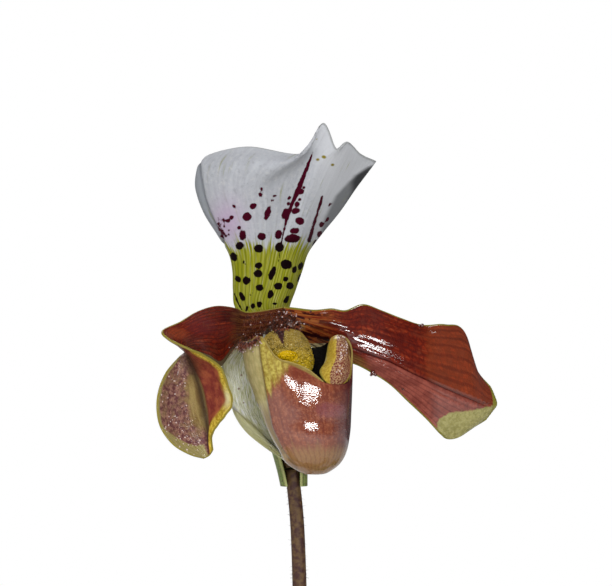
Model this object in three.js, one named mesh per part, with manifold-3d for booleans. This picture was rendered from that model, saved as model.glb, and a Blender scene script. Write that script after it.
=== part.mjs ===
// A potted slipper orchid, Paphiopedilum insigne, with one open bloom.
// Millimetres, +Z up, origin at the centre of the pot's base. The bloom faces the front (-Y).

import * as THREE from 'three';
import { mergeVertices } from 'three/addons/utils/BufferGeometryUtils.js';
import Module from 'manifold-3d';

const wasm = await Module();
wasm.setup();

// Driving dimensions of the pot
const potHeight = 100;
const potBaseRadius = 37;
const potNeckRadius = 48;
const potRimRadius = 53;
const potRimHeight = 20;
const potWall = 4.5;
const potFloor = 6;
const potSides = 48;
const drainHoleRadius = 4;
const drainHoleCircle = 19;
const drainHoleCount = 4;

// Growing medium
const fitGap = 0.4;
const mediumTop = 86;
const chipCount = 48;
const chipLength = 15;
const chipThickness = 4.5;
const chipSeed = 11;
const goldenAngle = Math.PI * (3 - Math.sqrt(5));

// Growths: a crown each, with leaves in two opposite ranks
const crownHeight = 24;
const crownTop = 95;
const crownHalfWidth = 8;
const leafStart = crownTop + 0.7;
const leafHalfWidth = 13;
const leafThickness = 1.3;
const scapeRadius = 2.2;
const scapeSocketDepth = 6;
const crownSides = 20;
// Share of a leaf's half-width, and the fold at its keel in degrees, evenly along it
const leafWidthAlong = [0.34, 0.64, 0.86, 0.96, 1, 1, 0.97, 0.87, 0.14];
const leafFoldAlong = [50, 38, 28, 22, 18, 16, 14, 12, 8];
const leafSteps = 14;

// Growths: place of the crown in the pot, turn of its leaf fan in degrees, and its leaves from the
// outside in. A leaf stands offset from the fan's middle, on its right (positive) or left, and
// leans from leanFoot to leanTip degrees along its length, turned a little out of the fan.
const growths = [
  {
    name: 'old',
    at: [0, 14],
    turn: 8,
    halfLength: 15.5,
    hasScape: true,
    leaves: [
      { offset: 12.5, length: 168, leanFoot: 24, leanTip: 118, turn: 2 },
      { offset: -12.5, length: 160, leanFoot: 22, leanTip: 112, turn: -18 },
      { offset: 8.6, length: 172, leanFoot: 14, leanTip: 100, turn: 11 },
      { offset: -8.6, length: 165, leanFoot: 13, leanTip: 104, turn: -9 },
      { offset: 5, length: 138, leanFoot: 7, leanTip: 74, turn: 3 },
      { offset: -5, length: 128, leanFoot: 9, leanTip: 80, turn: -9 },
    ],
  },
  {
    name: 'young',
    at: [-6, -16],
    turn: 2,
    halfLength: 11.5,
    hasScape: false,
    leaves: [
      { offset: 8.6, length: 142, leanFoot: 26, leanTip: 112, turn: -16 },
      { offset: -8.6, length: 135, leanFoot: 24, leanTip: 108, turn: 15 },
      { offset: 4.4, length: 122, leanFoot: 12, leanTip: 90, turn: -7 },
      { offset: -4.4, length: 112, leanFoot: 12, leanTip: 84, turn: 6 },
    ],
  },
];

// The bloom, drawn as the eye sees it from in front at viewDistance. Its points are
// [pixels right, pixels down, millimetres back], and bloomWidth sets their real size.
const bloomWidth = 94;
const bloomWidthPixels = 340;
const viewDistance = 800;
const viewCentre = { right: 306, down: 293 };
const columnBase = { right: 282, down: 322 };
const bloomCentre = new THREE.Vector3(0, -8, 300);
const blossomThickness = 1;
const facing = THREE.MathUtils.degToRad(40);

const dorsalRows = [
  [[253, 322, 8.5], [256, 321, 7.4], [261, 320.5, 6.5], [266, 320, 6.2], [271, 320, 6.2],
    [276, 320, 6.3], [281, 320.5, 6.8], [286, 321, 7.6], [290, 322, 8.6]],
  [[236, 308, 8.5], [239, 307, 7], [248, 306, 5.3], [257, 305, 4.9], [266, 305, 5],
    [274, 305, 5.2], [281, 306, 5.8], [286, 307, 7.6], [289, 308, 9.4]],
  [[233.5, 290, 8.5], [237, 289, 6.4], [248, 287.5, 4.2], [260, 286.5, 4], [270.5, 286, 4.5],
    [279, 287, 4.6], [287, 287.5, 5.6], [292.5, 288.5, 8.2], [295, 290, 10.6]],
  [[233, 271, 8.5], [237, 270, 6], [249, 268.5, 3.4], [263, 267.5, 3.2], [275, 267, 4],
    [284, 267.5, 4.1], [292, 268.5, 5.4], [298, 270, 8.4], [301.5, 271, 11.4]],
  [[229, 253, 8.2], [233.5, 252, 5.4], [248, 250, 2.3], [265, 249.5, 2.2], [279, 249, 3.3],
    [289, 249, 3.4], [298, 249.5, 5.2], [304.5, 251, 8.8], [308, 252, 12]],
  [[217.5, 234, 8], [223, 233, 4.6], [243, 231, 0.8], [265, 229.5, 0.6], [284.5, 228, 2.4],
    [296, 228.5, 2.3], [307, 229.5, 4.4], [316, 231.5, 9.2], [322, 233, 13]],
  [[204, 212, 7.6], [210, 211, 3.6], [235, 208, -1.4], [265, 206, -1.6], [291.5, 205, 1],
    [304, 205, 0.8], [317, 206.5, 3.4], [330, 209, 9], [340, 211, 13.6]],
  [[196, 188, 6.8], [202, 186.5, 2.6], [231, 183, -3.6], [267, 181, -4.6], [300, 180, -0.6],
    [314, 180, -1.3], [329, 180.5, 1.4], [344, 184, 7.8], [356, 188, 12.6]],
  [[197.5, 170, 5.8], [203, 167, 2], [236, 163.5, -4.8], [284, 164, -6.2], [308, 158, -2.8],
    [323, 160, -3.8], [338, 161.5, -1.2], [355, 165, 6], [371, 168, 11.6]],
  [[200.5, 162.5, 6], [213, 153.5, 4], [250, 147, -1.4], [302, 153.5, -3.8], [323, 123, -8],
    [336.5, 148.5, -5.5], [348, 142, -4], [361, 154, 4], [376, 161, 11]],
];

const synsepalRows = [
  [[257, 337, 6.5], [261, 336, 5.8], [267, 335.5, 5.4], [273, 336, 5.8], [278, 337, 6.6]],
  [[236, 346, 1.5], [244, 346.5, 1.5], [267, 348, 4], [289, 347, 6], [299, 346, 8]],
  [[222, 364, -2.5], [230, 365, -2.3], [267, 367, 2.8], [300, 366, 6], [311, 364, 8.4]],
  [[227.5, 383, -3.6], [234, 385, -3.8], [269, 390, 2], [305, 387, 5.4], [317, 384, 8]],
  [[231, 406, -4.2], [238, 407, -4.8], [273, 413, 1.2], [307, 409, 4.6], [318, 406, 7.2]],
  [[243, 428, -3.2], [250, 424, -4.6], [279, 433, 0.4], [306, 429, 3.6], [316, 427, 6]],
  [[262, 445, -2.2], [268, 440, -3.6], [286, 449, -0.2], [305, 447, 2.4], [313, 445, 4.6]],
  [[290, 464, -1.8], [291.5, 461.5, -2.2], [296, 466, -1.2], [303, 464.5, 0], [307, 462, 0.8]],
];

const leftPetalRows = [
  [[262, 338, 0.5], [264, 332, 0.2], [266, 326, 0], [268, 320, 0], [270, 314, 0.2]],
  [[243, 342, -5], [244, 334, -5.6], [245, 327, -5.4], [246, 320, -4.8], [248, 313, -3.8]],
  [[231, 348, -10], [232, 337, -11], [233, 327, -10.6], [234, 317, -9], [235, 308, -7]],
  [[220, 357, -14], [219.5, 343, -15.6], [218, 330, -15.4], [217, 317, -13.4], [216, 306, -11]],
  [[209, 353, -17.5], [206, 342, -19.6], [203, 331.5, -20], [200, 321, -19], [197, 311.5, -17]],
  [[199, 350, -19], [194, 343, -21.6], [189.5, 336, -23], [184, 328.5, -23.6], [180, 321.5, -23.2]],
  [[193, 350.5, -20], [186.5, 346, -22.8], [180, 341, -25], [172, 335, -26.8], [164.5, 330, -28]],
  [[189, 351.5, -20.5], [185, 349.5, -23.4], [181, 347, -26.4], [175.5, 343, -29], [168, 339, -31]],
  [[185, 353.5, -21], [186, 353, -23.8], [187, 352.3, -26.6], [188.5, 351, -29.4], [190.5, 349.5, -32]],
  [[177, 359, -23], [183, 359, -23.6], [190.5, 359.5, -25.6], [197, 357.5, -28.6], [203, 354.5, -31]],
  [[166, 372, -26], [177, 372, -23.8], [195, 373, -22.8], [207, 367, -25.6], [218, 365, -29.4]],
  [[158.5, 390, -28], [175, 389, -24], [200, 389, -21.4], [215, 384, -24], [228, 381, -28]],
  [[156.5, 409, -28], [175, 408, -23.8], [203.5, 406, -21], [219, 402, -23.4], [232, 402, -27]],
  [[160.5, 428, -27], [178, 426, -23.4], [206, 419, -21.2], [216, 416, -23], [226, 416.5, -25.6]],
  [[173, 445, -26], [188, 440, -23.4], [208, 430, -22], [211, 427.5, -22.8], [215, 428, -24]],
  [[190, 455, -25], [199, 450, -23.6], [208, 444, -23], [210, 441.5, -23.2], [212, 439, -23.6]],
  [[204, 458.5, -24], [206.5, 457.5, -23.8], [209, 456, -23.6], [211, 453.5, -23.6], [213, 450, -23.8]],
];

const rightPetalRows = [
  [[294, 315, 1.8], [294, 320, 1.4], [294, 326, 1.4], [294, 331, 1.6], [294, 336, 2.2]],
  [[312, 310.5, 3.2], [311, 320, 2.4], [311, 331, 3.2], [311, 339, 5.1], [311, 347, 7.2]],
  [[330, 308.5, 5.2], [330, 323, 3.8], [330, 338.5, 5.5], [331, 348, 7.2], [331, 357, 8]],
  [[345, 310, 5.6], [347, 327, 4.4], [349, 346, 5.2], [350, 356, 6], [351, 364, 6.8]],
  [[362, 304.5, 8.4], [365, 327, 5.8], [368, 353, 5.2], [369, 364, 5.6], [369, 372, 6.6]],
  [[382, 310, 8.8], [386, 333, 6.4], [391, 363, 6], [391, 376, 6.2], [390, 386, 7.2]],
  [[401, 318.5, 9.6], [408, 341, 7.6], [414, 374, 7], [413, 389, 7.2], [409, 403, 8.2]],
  [[424, 324.5, 12], [431, 348, 9.2], [437, 385, 8.6], [433, 403, 8.8], [427, 420, 9.8]],
  [[445, 324.5, 13.6], [452, 351, 11.2], [457, 393, 10.6], [450, 415, 10.8], [440, 434, 11.8]],
  [[462, 328.5, 15.5], [469, 357, 13.2], [473, 399, 12.4], [463, 423, 12.8], [449, 439.5, 13.8]],
  [[473, 364, 16.5], [480, 380, 15.4], [485, 403, 14.8], [476, 422, 14.8], [465, 432.5, 15.6]],
  [[490, 387, 18], [494, 395, 17.6], [497, 404, 17.4], [493, 410, 17.2], [486, 420, 17]],
];

// The lip's levels from the toe up: pixels down, left and right edge in pixels, and depth
const lipLevels = [
  [473.2, 313, 319, -13], [471.5, 303, 327, -13], [463, 289.5, 338.5, -12.8], [451, 280, 345, -12.4],
  [432, 269, 348.5, -12], [414, 262, 349.5, -11.5], [390, 253, 350.5, -10.6], [370, 246, 351, -9.6],
  [350, 243, 351, -9], [332, 244, 350, -8.8],
];
// Shares of the lip's half-width: how far its turned oval is seen to reach left and right of its
// middle, and how deep it is towards its front and its back
const lipLeftShare = 0.875;
const lipRightShare = 0.973;
const lipFrontShare = 0.93;
const lipBackShare = 0.65;
// Height of the lip's rim, in pixels down, at every 30 degrees from its front round to its left
const lipRimDown = [386, 372, 357, 338, 345, 349, 344, 346, 346, 337, 349, 377];
// The rim's small outward roll
const lipRollRadius = 0.45;
const lipRollTurn = THREE.MathUtils.degToRad(100);
// The lip's right ear: the side lobe that folds over into the mouth, from its foot up,
// and across from the fold to the free edge
const earRows = [
  [[335, 385, -19], [333.5, 382.5, -19.4], [330.5, 380, -18.6], [327, 379, -17]],
  [[342, 377.5, -15.4], [337.5, 373, -17.2], [331, 371.5, -16.6], [322.5, 373, -14.2]],
  [[350, 367, -11.2], [344.5, 361, -14.4], [335, 360, -14.8], [323.5, 364, -11.6]],
  [[350.5, 356, -7.4], [345, 349, -11.2], [335.5, 348.5, -12.2], [324.5, 354, -9.4]],
  [[347.5, 344, -3.8], [343.5, 340.5, -8.2], [336, 340.5, -9.6], [326.5, 345, -7.4]],
  [[341, 337, -1.4], [340, 335.8, -4.8], [336.5, 335.8, -6], [331, 338.5, -5.2]],
];

const staminodeRows = [
  [[276, 336, -4.6], [282, 333, -5.2], [288, 331.5, -5.4], [295, 332.5, -4.8], [302, 335, -3.6]],
  [[270, 343, -7], [279, 341, -8.4], [289, 340, -8.8], [299, 340, -7.8], [307, 342, -5.4]],
  [[272, 353, -8.6], [281, 352, -10], [292, 351, -10.4], [303, 350, -9.2], [311, 351, -6.8]],
  [[279, 362, -9.6], [287, 362, -10.8], [297, 362, -11], [307, 361, -9.8], [313, 362, -7.6]],
  [[289, 368, -10], [294, 369, -10.6], [300, 370, -10.8], [306, 371, -10], [311, 371, -8.4]],
];
const staminodeThickness = 1.6;
// The column: where it starts, its radius at each step forward, and how far it droops each step
const columnStart = new THREE.Vector3(-2.9, 3.4, 0.4);
const columnRadii = [2, 2.5, 2.7, 2.6, 2.2];
const columnSides = 12;
const columnStep = 2.6;
const columnDroop = 0.35;
// The small boss on the staminode
const bossPlace = [288, 357, -11];
const bossSize = [2.2, 1.6, 1.5];

// Routes of the stalks, in millimetres from the bloom's centre
const ovaryRoute = [
  [-4.5, 8.9, -1.6], [-5.5, 12.4, -6], [-4.4, 15.6, -15], [-0.5, 17.2, -28], [2.6, 17.4, -41],
];
const scapeRoute = [
  [2.7, 17.4, -41.8], [4.4, 17.6, -62], [5, 18.6, -100], [3.2, 20.6, -150], [0, 22, -210],
];
const ovaryRadiusAlong = [2.4, 2.9, 3.1, 2.7, 2];
const ovaryRibs = 6;
const scapeTaper = 0.25;
// The bract's foot and tip as shares of the way from the scape up the ovary, how far it reaches
// round it on each side, in degrees, and its radius
const bractThickness = 0.8;
const bractFoot = 0.27;
const bractTip = 0.94;
const bractReachAlong = [150, 140, 118, 84, 12];
const bractRadiusAlong = [3.5, 4.5, 5.3, 6.1, 7];
const bractSteps = 10;

const colours = {
  clay: 0xa9633f,
  bark: 0x5c4030,
  leaf: 0x4c7a2c,
  sheath: 0x8a8f4e,
  stalk: 0x6a5a3c,
  bract: 0x7f9a45,
  dorsal: 0xdfe2dd,
  petal: 0x7a3322,
  synsepal: 0xc8cfa8,
  lip: 0x94574a,
  column: 0xb9a23e,
};

function material(color, roughness) {
  return new THREE.MeshStandardMaterial({ color, roughness, metalness: 0, side: THREE.DoubleSide });
}

function part(name, geometry, color, roughness = 0.6) {
  geometry.computeVertexNormals();
  const mesh = new THREE.Mesh(geometry, material(color, roughness));
  mesh.name = name;
  return mesh;
}

function seededRandom(seed) {
  let state = seed;
  return () => {
    state = (state * 1664525 + 1013904223) % 4294967296;
    return state / 4294967296;
  };
}

// Value at t (0 to 1) of a smooth curve through evenly spaced values
function smooth(values, t) {
  const points = values.map((value, i) => new THREE.Vector3(i, value, 0));
  return new THREE.CatmullRomCurve3(points, false, 'catmullrom').getPoint(t).y;
}

// The same round a full turn, with t = 1 back at the first value
function smoothRound(values, t) {
  const points = values.map((value, i) => new THREE.Vector3(i, value, 0));
  return new THREE.CatmullRomCurve3(points, true, 'catmullrom').getPoint(t).y;
}

// Place of a point of the bloom that is seen at a pixel, a depth behind the bloom's centre
function seen([right, down, depth]) {
  const millimetres = bloomWidth / bloomWidthPixels;
  const spread = 1 + depth / viewDistance;
  return new THREE.Vector3(
    ((viewCentre.right - columnBase.right) + (right - viewCentre.right) * spread) * millimetres,
    depth,
    ((columnBase.down - viewCentre.down) + (viewCentre.down - down) * spread) * millimetres,
  );
}

// Points of a smooth surface through rows of control points
function surfaceGrid(rows, acrossSteps, alongSteps) {
  const rowCurves = rows.map((row) => new THREE.CatmullRomCurve3(row, false, 'catmullrom'));
  const grid = Array.from({ length: alongSteps + 1 }, () => []);
  for (let j = 0; j <= acrossSteps; j += 1) {
    const column = rowCurves.map((curve) => curve.getPoint(j / acrossSteps));
    const columnCurve = new THREE.CatmullRomCurve3(column, false, 'catmullrom');
    for (let i = 0; i <= alongSteps; i += 1) {
      grid[i].push(columnCurve.getPoint(i / alongSteps));
    }
  }
  return grid;
}

function gridNormal(grid, i, j, closed) {
  const count = grid[0].length;
  const before = closed ? (j + count - 1) % count : Math.max(j - 1, 0);
  const after = closed ? (j + 1) % count : Math.min(j + 1, count - 1);
  const across = grid[i][after].clone().sub(grid[i][before]);
  const along = grid[Math.min(i + 1, grid.length - 1)][j].clone().sub(grid[Math.max(i - 1, 0)][j]);
  return across.cross(along).normalize();
}

function geometryOf(vertices, triangles) {
  const geometry = new THREE.BufferGeometry();
  const places = vertices.flatMap((p) => [p.x, p.y, p.z]);
  geometry.setAttribute('position', new THREE.Float32BufferAttribute(places, 3));
  geometry.setIndex(triangles);
  return facingOut(geometry);
}

// Turns a closed geometry's faces outwards
function facingOut(geometry) {
  const position = geometry.attributes.position;
  const index = geometry.index.array;
  const a = new THREE.Vector3();
  const b = new THREE.Vector3();
  const c = new THREE.Vector3();
  let volume = 0;
  for (let i = 0; i < index.length; i += 3) {
    a.fromBufferAttribute(position, index[i]);
    b.fromBufferAttribute(position, index[i + 1]);
    c.fromBufferAttribute(position, index[i + 2]);
    volume += a.dot(b.cross(c));
  }
  if (volume < 0) {
    for (let i = 0; i < index.length; i += 3) {
      [index[i], index[i + 1]] = [index[i + 1], index[i]];
    }
  }
  return geometry;
}

// A sheet of even thickness round a grid of points, thinner at its margin
function blade(grid, thickness, marginShare = 0.7) {
  const rows = grid.length;
  const columns = grid[0].length;
  const vertices = [];
  for (const side of [1, -1]) {
    for (let i = 0; i < rows; i += 1) {
      for (let j = 0; j < columns; j += 1) {
        const atMargin = i === rows - 1 || j === 0 || j === columns - 1;
        const half = side * 0.5 * thickness * (atMargin ? marginShare : 1);
        vertices.push(gridNormal(grid, i, j, false).multiplyScalar(half).add(grid[i][j]));
      }
    }
  }
  const front = (i, j) => i * columns + j;
  const back = (i, j) => (rows + i) * columns + j;
  const triangles = [];
  for (let i = 0; i < rows - 1; i += 1) {
    for (let j = 0; j < columns - 1; j += 1) {
      triangles.push(front(i, j), front(i, j + 1), front(i + 1, j));
      triangles.push(front(i + 1, j), front(i, j + 1), front(i + 1, j + 1));
      triangles.push(back(i, j), back(i + 1, j), back(i, j + 1));
      triangles.push(back(i + 1, j), back(i + 1, j + 1), back(i, j + 1));
    }
  }
  const border = [];
  for (let j = 0; j < columns - 1; j += 1) border.push([0, j]);
  for (let i = 0; i < rows - 1; i += 1) border.push([i, columns - 1]);
  for (let j = columns - 1; j > 0; j -= 1) border.push([rows - 1, j]);
  for (let i = rows - 1; i > 0; i -= 1) border.push([i, 0]);
  border.forEach(([i, j], k) => {
    const [nextI, nextJ] = border[(k + 1) % border.length];
    triangles.push(front(i, j), back(i, j), front(nextI, nextJ));
    triangles.push(back(i, j), back(nextI, nextJ), front(nextI, nextJ));
  });
  return geometryOf(vertices, triangles);
}

// A solid through closed rings of points, with its ends capped
function loft(rings) {
  const count = rings[0].length;
  const vertices = rings.flat();
  const triangles = [];
  for (let i = 0; i < rings.length - 1; i += 1) {
    for (let j = 0; j < count; j += 1) {
      const next = (j + 1) % count;
      triangles.push(i * count + j, i * count + next, (i + 1) * count + j);
      triangles.push((i + 1) * count + j, i * count + next, (i + 1) * count + next);
    }
  }
  const middle = (ring) => ring.reduce((sum, p) => sum.add(p), new THREE.Vector3()).divideScalar(count);
  const first = vertices.push(middle(rings[0])) - 1;
  const last = vertices.push(middle(rings[rings.length - 1])) - 1;
  const lastRow = (rings.length - 1) * count;
  for (let j = 0; j < count; j += 1) {
    const next = (j + 1) % count;
    triangles.push(first, next, j);
    triangles.push(last, lastRow + j, lastRow + next);
  }
  return geometryOf(vertices, triangles);
}

// A stalk along a route, with a radius for each place along it and angle round it
function stalk(route, steps, sides, radiusAt) {
  const curve = new THREE.CatmullRomCurve3(route.map((p) => new THREE.Vector3(...p)));
  const frames = curve.computeFrenetFrames(steps, false);
  const rings = [];
  for (let i = 0; i <= steps; i += 1) {
    const centre = curve.getPointAt(i / steps);
    rings.push(Array.from({ length: sides }, (_, j) => {
      const angle = (j / sides) * 2 * Math.PI;
      const radius = radiusAt(i / steps, angle);
      return centre.clone()
        .addScaledVector(frames.normals[i], radius * Math.cos(angle))
        .addScaledVector(frames.binormals[i], radius * Math.sin(angle));
    }));
  }
  return loft(rings);
}

function toSolid(geometry) {
  const bare = geometry.clone();
  bare.deleteAttribute('normal');
  bare.deleteAttribute('uv');
  const merged = mergeVertices(bare, 1e-4);
  return new wasm.Manifold(new wasm.Mesh({
    numProp: 3,
    vertProperties: new Float32Array(merged.attributes.position.array),
    triVerts: new Uint32Array(merged.index.array),
  }));
}

function toGeometry(solid) {
  const mesh = solid.getMesh();
  const geometry = new THREE.BufferGeometry();
  geometry.setAttribute('position', new THREE.BufferAttribute(new Float32Array(mesh.vertProperties), 3));
  geometry.setIndex(new THREE.BufferAttribute(new Uint32Array(mesh.triVerts), 1));
  return geometry;
}

// The largest closed surface of a geometry, without loose scraps and the walls of sealed hollows
function largestSurface(geometry) {
  const index = Array.from(geometry.index.array);
  const parent = Array.from({ length: geometry.attributes.position.count }, (_, i) => i);
  const root = (i) => {
    let top = i;
    while (parent[top] !== top) top = parent[top];
    return top;
  };
  for (let i = 0; i < index.length; i += 3) {
    parent[root(index[i + 1])] = root(index[i]);
    parent[root(index[i + 2])] = root(index[i]);
  }
  const surfaces = new Map();
  for (let i = 0; i < index.length; i += 3) {
    const key = root(index[i]);
    if (!surfaces.has(key)) surfaces.set(key, []);
    surfaces.get(key).push(index[i], index[i + 1], index[i + 2]);
  }
  const largest = [...surfaces.values()].sort((a, b) => b.length - a.length)[0];
  geometry.setIndex(largest);
  return mergeVertices(geometry, 1e-4);
}

// Lathe profiles are [radius, height] pairs turned round the pot's axis
function turned(profile, sides) {
  const geometry = new THREE.LatheGeometry(profile.map(([r, z]) => new THREE.Vector2(r, z)), sides);
  return geometry.rotateX(Math.PI / 2);
}

const innerBase = potBaseRadius - potWall * 0.8;
const innerNeck = potRimRadius - potWall;

function innerRadius(height) {
  return innerBase + (innerNeck - innerBase) * ((height - potFloor) / (potHeight - potFloor));
}

function potGeometry() {
  const rimFoot = potHeight - potRimHeight;
  const profile = [
    [0, 0], [potBaseRadius - 1.5, 0], [potBaseRadius, 1.5], [potNeckRadius, rimFoot],
    [potRimRadius - 1.5, rimFoot], [potRimRadius, rimFoot + 1.5], [potRimRadius, potHeight - 2],
    [potRimRadius - 1.5, potHeight], [innerNeck + 1, potHeight], [innerNeck, potHeight - 1.5],
    [innerRadius(potFloor + 3), potFloor + 3], [innerBase - 3, potFloor], [0, potFloor],
  ];
  let solid = toSolid(turned(profile, potSides));
  for (let i = 0; i < drainHoleCount; i += 1) {
    const angle = ((i + 0.5) / drainHoleCount) * 2 * Math.PI;
    const hole = new THREE.CylinderGeometry(drainHoleRadius, drainHoleRadius, 3 * potFloor, 16);
    hole.rotateX(Math.PI / 2);
    hole.translate(drainHoleCircle * Math.cos(angle), drainHoleCircle * Math.sin(angle), potFloor);
    solid = solid.subtract(toSolid(hole));
  }
  return toGeometry(solid);
}

function crownGeometry(growth) {
  const profile = [[0, 0], [0.8, 0], [1, 0.3], [0.97, 0.8], [0.9, 1], [0, 1]];
  const geometry = turned(profile, crownSides);
  geometry.scale(growth.halfLength, crownHalfWidth, crownHeight);
  geometry.translate(0, 0, crownTop - crownHeight);
  if (!growth.hasScape) return mergedShape(geometry);
  const socketRadius = scapeRadius + fitGap + 0.3;
  const socket = new THREE.CylinderGeometry(socketRadius, socketRadius, 2 * scapeSocketDepth, 12);
  socket.rotateX(Math.PI / 2);
  socket.translate(0, 0, crownTop);
  return toGeometry(toSolid(geometry).subtract(toSolid(socket)));
}

function mergedShape(geometry) {
  geometry.deleteAttribute('normal');
  geometry.deleteAttribute('uv');
  return mergeVertices(geometry, 1e-4);
}

// A strap leaf: keeled, and arching outwards along its length
function leafGeometry({ offset, length, leanFoot, leanTip }) {
  const side = Math.sign(offset);
  const lean = (t) => THREE.MathUtils.degToRad(leanFoot + (leanTip - leanFoot) * t ** 1.25);
  const placeAlong = (i) => 1 - (1 - i / leafSteps) ** 1.15;
  const centre = new THREE.Vector3(Math.abs(offset), 0, leafStart);
  const grid = [];
  for (let i = 0; i <= leafSteps; i += 1) {
    const t = placeAlong(i);
    if (i > 0) {
      const last = placeAlong(i - 1);
      const middle = lean((t + last) / 2);
      const step = length * (t - last);
      centre.add(new THREE.Vector3(step * Math.sin(middle), 0, step * Math.cos(middle)));
    }
    const fold = THREE.MathUtils.degToRad(smooth(leafFoldAlong, t));
    const half = leafHalfWidth * smooth(leafWidthAlong, t);
    const inward = new THREE.Vector3(-Math.cos(lean(t)), 0, Math.sin(lean(t)));
    grid.push([-1, -0.5, 0, 0.5, 1].map((q) => {
      const point = centre.clone().addScaledVector(inward, Math.abs(q) * half * Math.sin(fold));
      point.y += q * half * Math.cos(fold);
      point.x *= side;
      return point;
    }));
  }
  return blade(grid, leafThickness, 0.6);
}

function growthGroup(growth) {
  const group = new THREE.Group();
  group.position.set(growth.at[0], growth.at[1], 0);
  group.rotation.z = THREE.MathUtils.degToRad(growth.turn);
  group.add(part(`crown_${growth.name}`, crownGeometry(growth), colours.sheath));
  growth.leaves.forEach((leaf, i) => {
    const mesh = part(`leaf_${growth.name}_${i + 1}`, leafGeometry(leaf), colours.leaf, 0.4);
    const foot = new THREE.Vector3(leaf.offset, 0, 0);
    mesh.rotation.z = THREE.MathUtils.degToRad(leaf.turn);
    mesh.position.copy(foot).sub(foot.clone().applyEuler(mesh.rotation));
    group.add(mesh);
  });
  return group;
}

// Bark medium: fills the pot, with loose-looking chips joined to its top and a socket for each crown
function mediumGeometry() {
  const bottom = potFloor + fitGap;
  const profile = [
    [0, bottom], [innerBase - 4, bottom], [innerRadius(potFloor + 3) - fitGap - 0.3, potFloor + 3.4],
    [innerRadius(mediumTop) - fitGap - 0.3, mediumTop], [0, mediumTop + 1],
  ];
  let solid = toSolid(turned(profile, potSides));
  const random = seededRandom(chipSeed);
  const reach = innerRadius(mediumTop) - chipLength * 0.6;
  for (let placed = 0; placed < chipCount; placed += 1) {
    const radius = reach * Math.sqrt((placed + random()) / chipCount);
    const angle = placed * goldenAngle;
    const length = chipLength * (0.6 + 0.4 * random());
    const width = chipLength * (0.4 + 0.25 * random());
    const shape = mergedShape(new THREE.BoxGeometry(length, width, chipThickness));
    const corners = shape.attributes.position;
    for (let i = 0; i < corners.count; i += 1) {
      corners.setX(i, corners.getX(i) * (0.8 + 0.3 * random()));
      corners.setY(i, corners.getY(i) * (0.75 + 0.35 * random()));
      corners.setZ(i, corners.getZ(i) * (0.8 + 0.4 * random()));
    }
    shape.rotateX((random() - 0.5) * 0.9);
    shape.rotateY((random() - 0.5) * 0.7);
    shape.rotateZ(random() * Math.PI);
    shape.translate(radius * Math.cos(angle), radius * Math.sin(angle), mediumTop + 1.2 + 0.8 * random());
    solid = solid.add(toSolid(shape));
  }
  for (const growth of growths) {
    const socket = new THREE.CylinderGeometry(1, 1, 60, 20);
    socket.rotateX(Math.PI / 2);
    socket.scale(growth.halfLength + fitGap, crownHalfWidth + fitGap, 1);
    socket.rotateZ(THREE.MathUtils.degToRad(growth.turn));
    socket.translate(growth.at[0], growth.at[1], crownTop - crownHeight - fitGap + 30);
    solid = solid.subtract(toSolid(socket));
  }
  return largestSurface(toGeometry(solid));
}

const forward = new THREE.Vector3(Math.sin(facing), -Math.cos(facing), 0);
const leftward = new THREE.Vector3(-Math.cos(facing), -Math.sin(facing), 0);

// The lip's section at a height in pixels: half-width, centre and depth, from its left and right edges
function lipSection(down) {
  let k = 0;
  while (k < lipLevels.length - 2 && lipLevels[k + 1][0] > down) k += 1;
  const [lowDown, lowLeft, lowRight, lowDepth] = lipLevels[k];
  const [highDown, highLeft, highRight, highDepth] = lipLevels[k + 1];
  const t = THREE.MathUtils.clamp((lowDown - down) / (lowDown - highDown), 0, 1);
  const left = THREE.MathUtils.lerp(lowLeft, highLeft, t);
  const right = THREE.MathUtils.lerp(lowRight, highRight, t);
  const depth = THREE.MathUtils.lerp(lowDepth, highDepth, t);
  const halfWidth = (right - left) / (lipLeftShare + lipRightShare);
  return {
    centre: seen([left + lipLeftShare * halfWidth, down, depth]),
    halfWidth: halfWidth * (bloomWidth / bloomWidthPixels),
  };
}

function lipPoint(down, angle) {
  const { centre, halfWidth } = lipSection(down);
  const reach = Math.cos(angle) > 0 ? lipFrontShare : lipBackShare;
  return centre.addScaledVector(forward, reach * halfWidth * Math.cos(angle))
    .addScaledVector(leftward, halfWidth * Math.sin(angle));
}

function lipGrid(sides, wallSteps, rollSteps) {
  const rings = [];
  const toeDown = lipLevels[0][0];
  for (let i = 1; i <= wallSteps + rollSteps; i += 1) {
    rings.push(Array.from({ length: sides }, (_, j) => {
      const angle = (j / sides) * 2 * Math.PI;
      const rimDown = smoothRound(lipRimDown, j / sides);
      if (i <= wallSteps) {
        return lipPoint(toeDown + (rimDown - toeDown) * (i / wallSteps) ** 1.6, angle);
      }
      const turn = ((i - wallSteps) / rollSteps) * lipRollTurn;
      const rollOut = lipRollRadius * (1 - Math.cos(turn));
      const point = lipPoint(rimDown, angle)
        .addScaledVector(forward, rollOut * Math.cos(angle))
        .addScaledVector(leftward, rollOut * Math.sin(angle));
      point.z += lipRollRadius * Math.sin(turn);
      return point;
    }));
  }
  return rings;
}

// A thin-walled cup round closed rings of points that start at its toe
function cup(rings, thickness) {
  const wall = (side) => rings.map((ring, i) => ring.map((p, j) => (
    gridNormal(rings, i, j, true).multiplyScalar(side * 0.5 * thickness).add(p))));
  return loft([...wall(1), ...wall(-1).reverse()]);
}

function lipGeometry() {
  const ear = blade(surfaceGrid(earRows.map((row) => row.map(seen)), 8, 10), blossomThickness);
  return toGeometry(toSolid(cup(lipGrid(28, 12, 2), blossomThickness)).add(toSolid(ear)));
}

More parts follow.
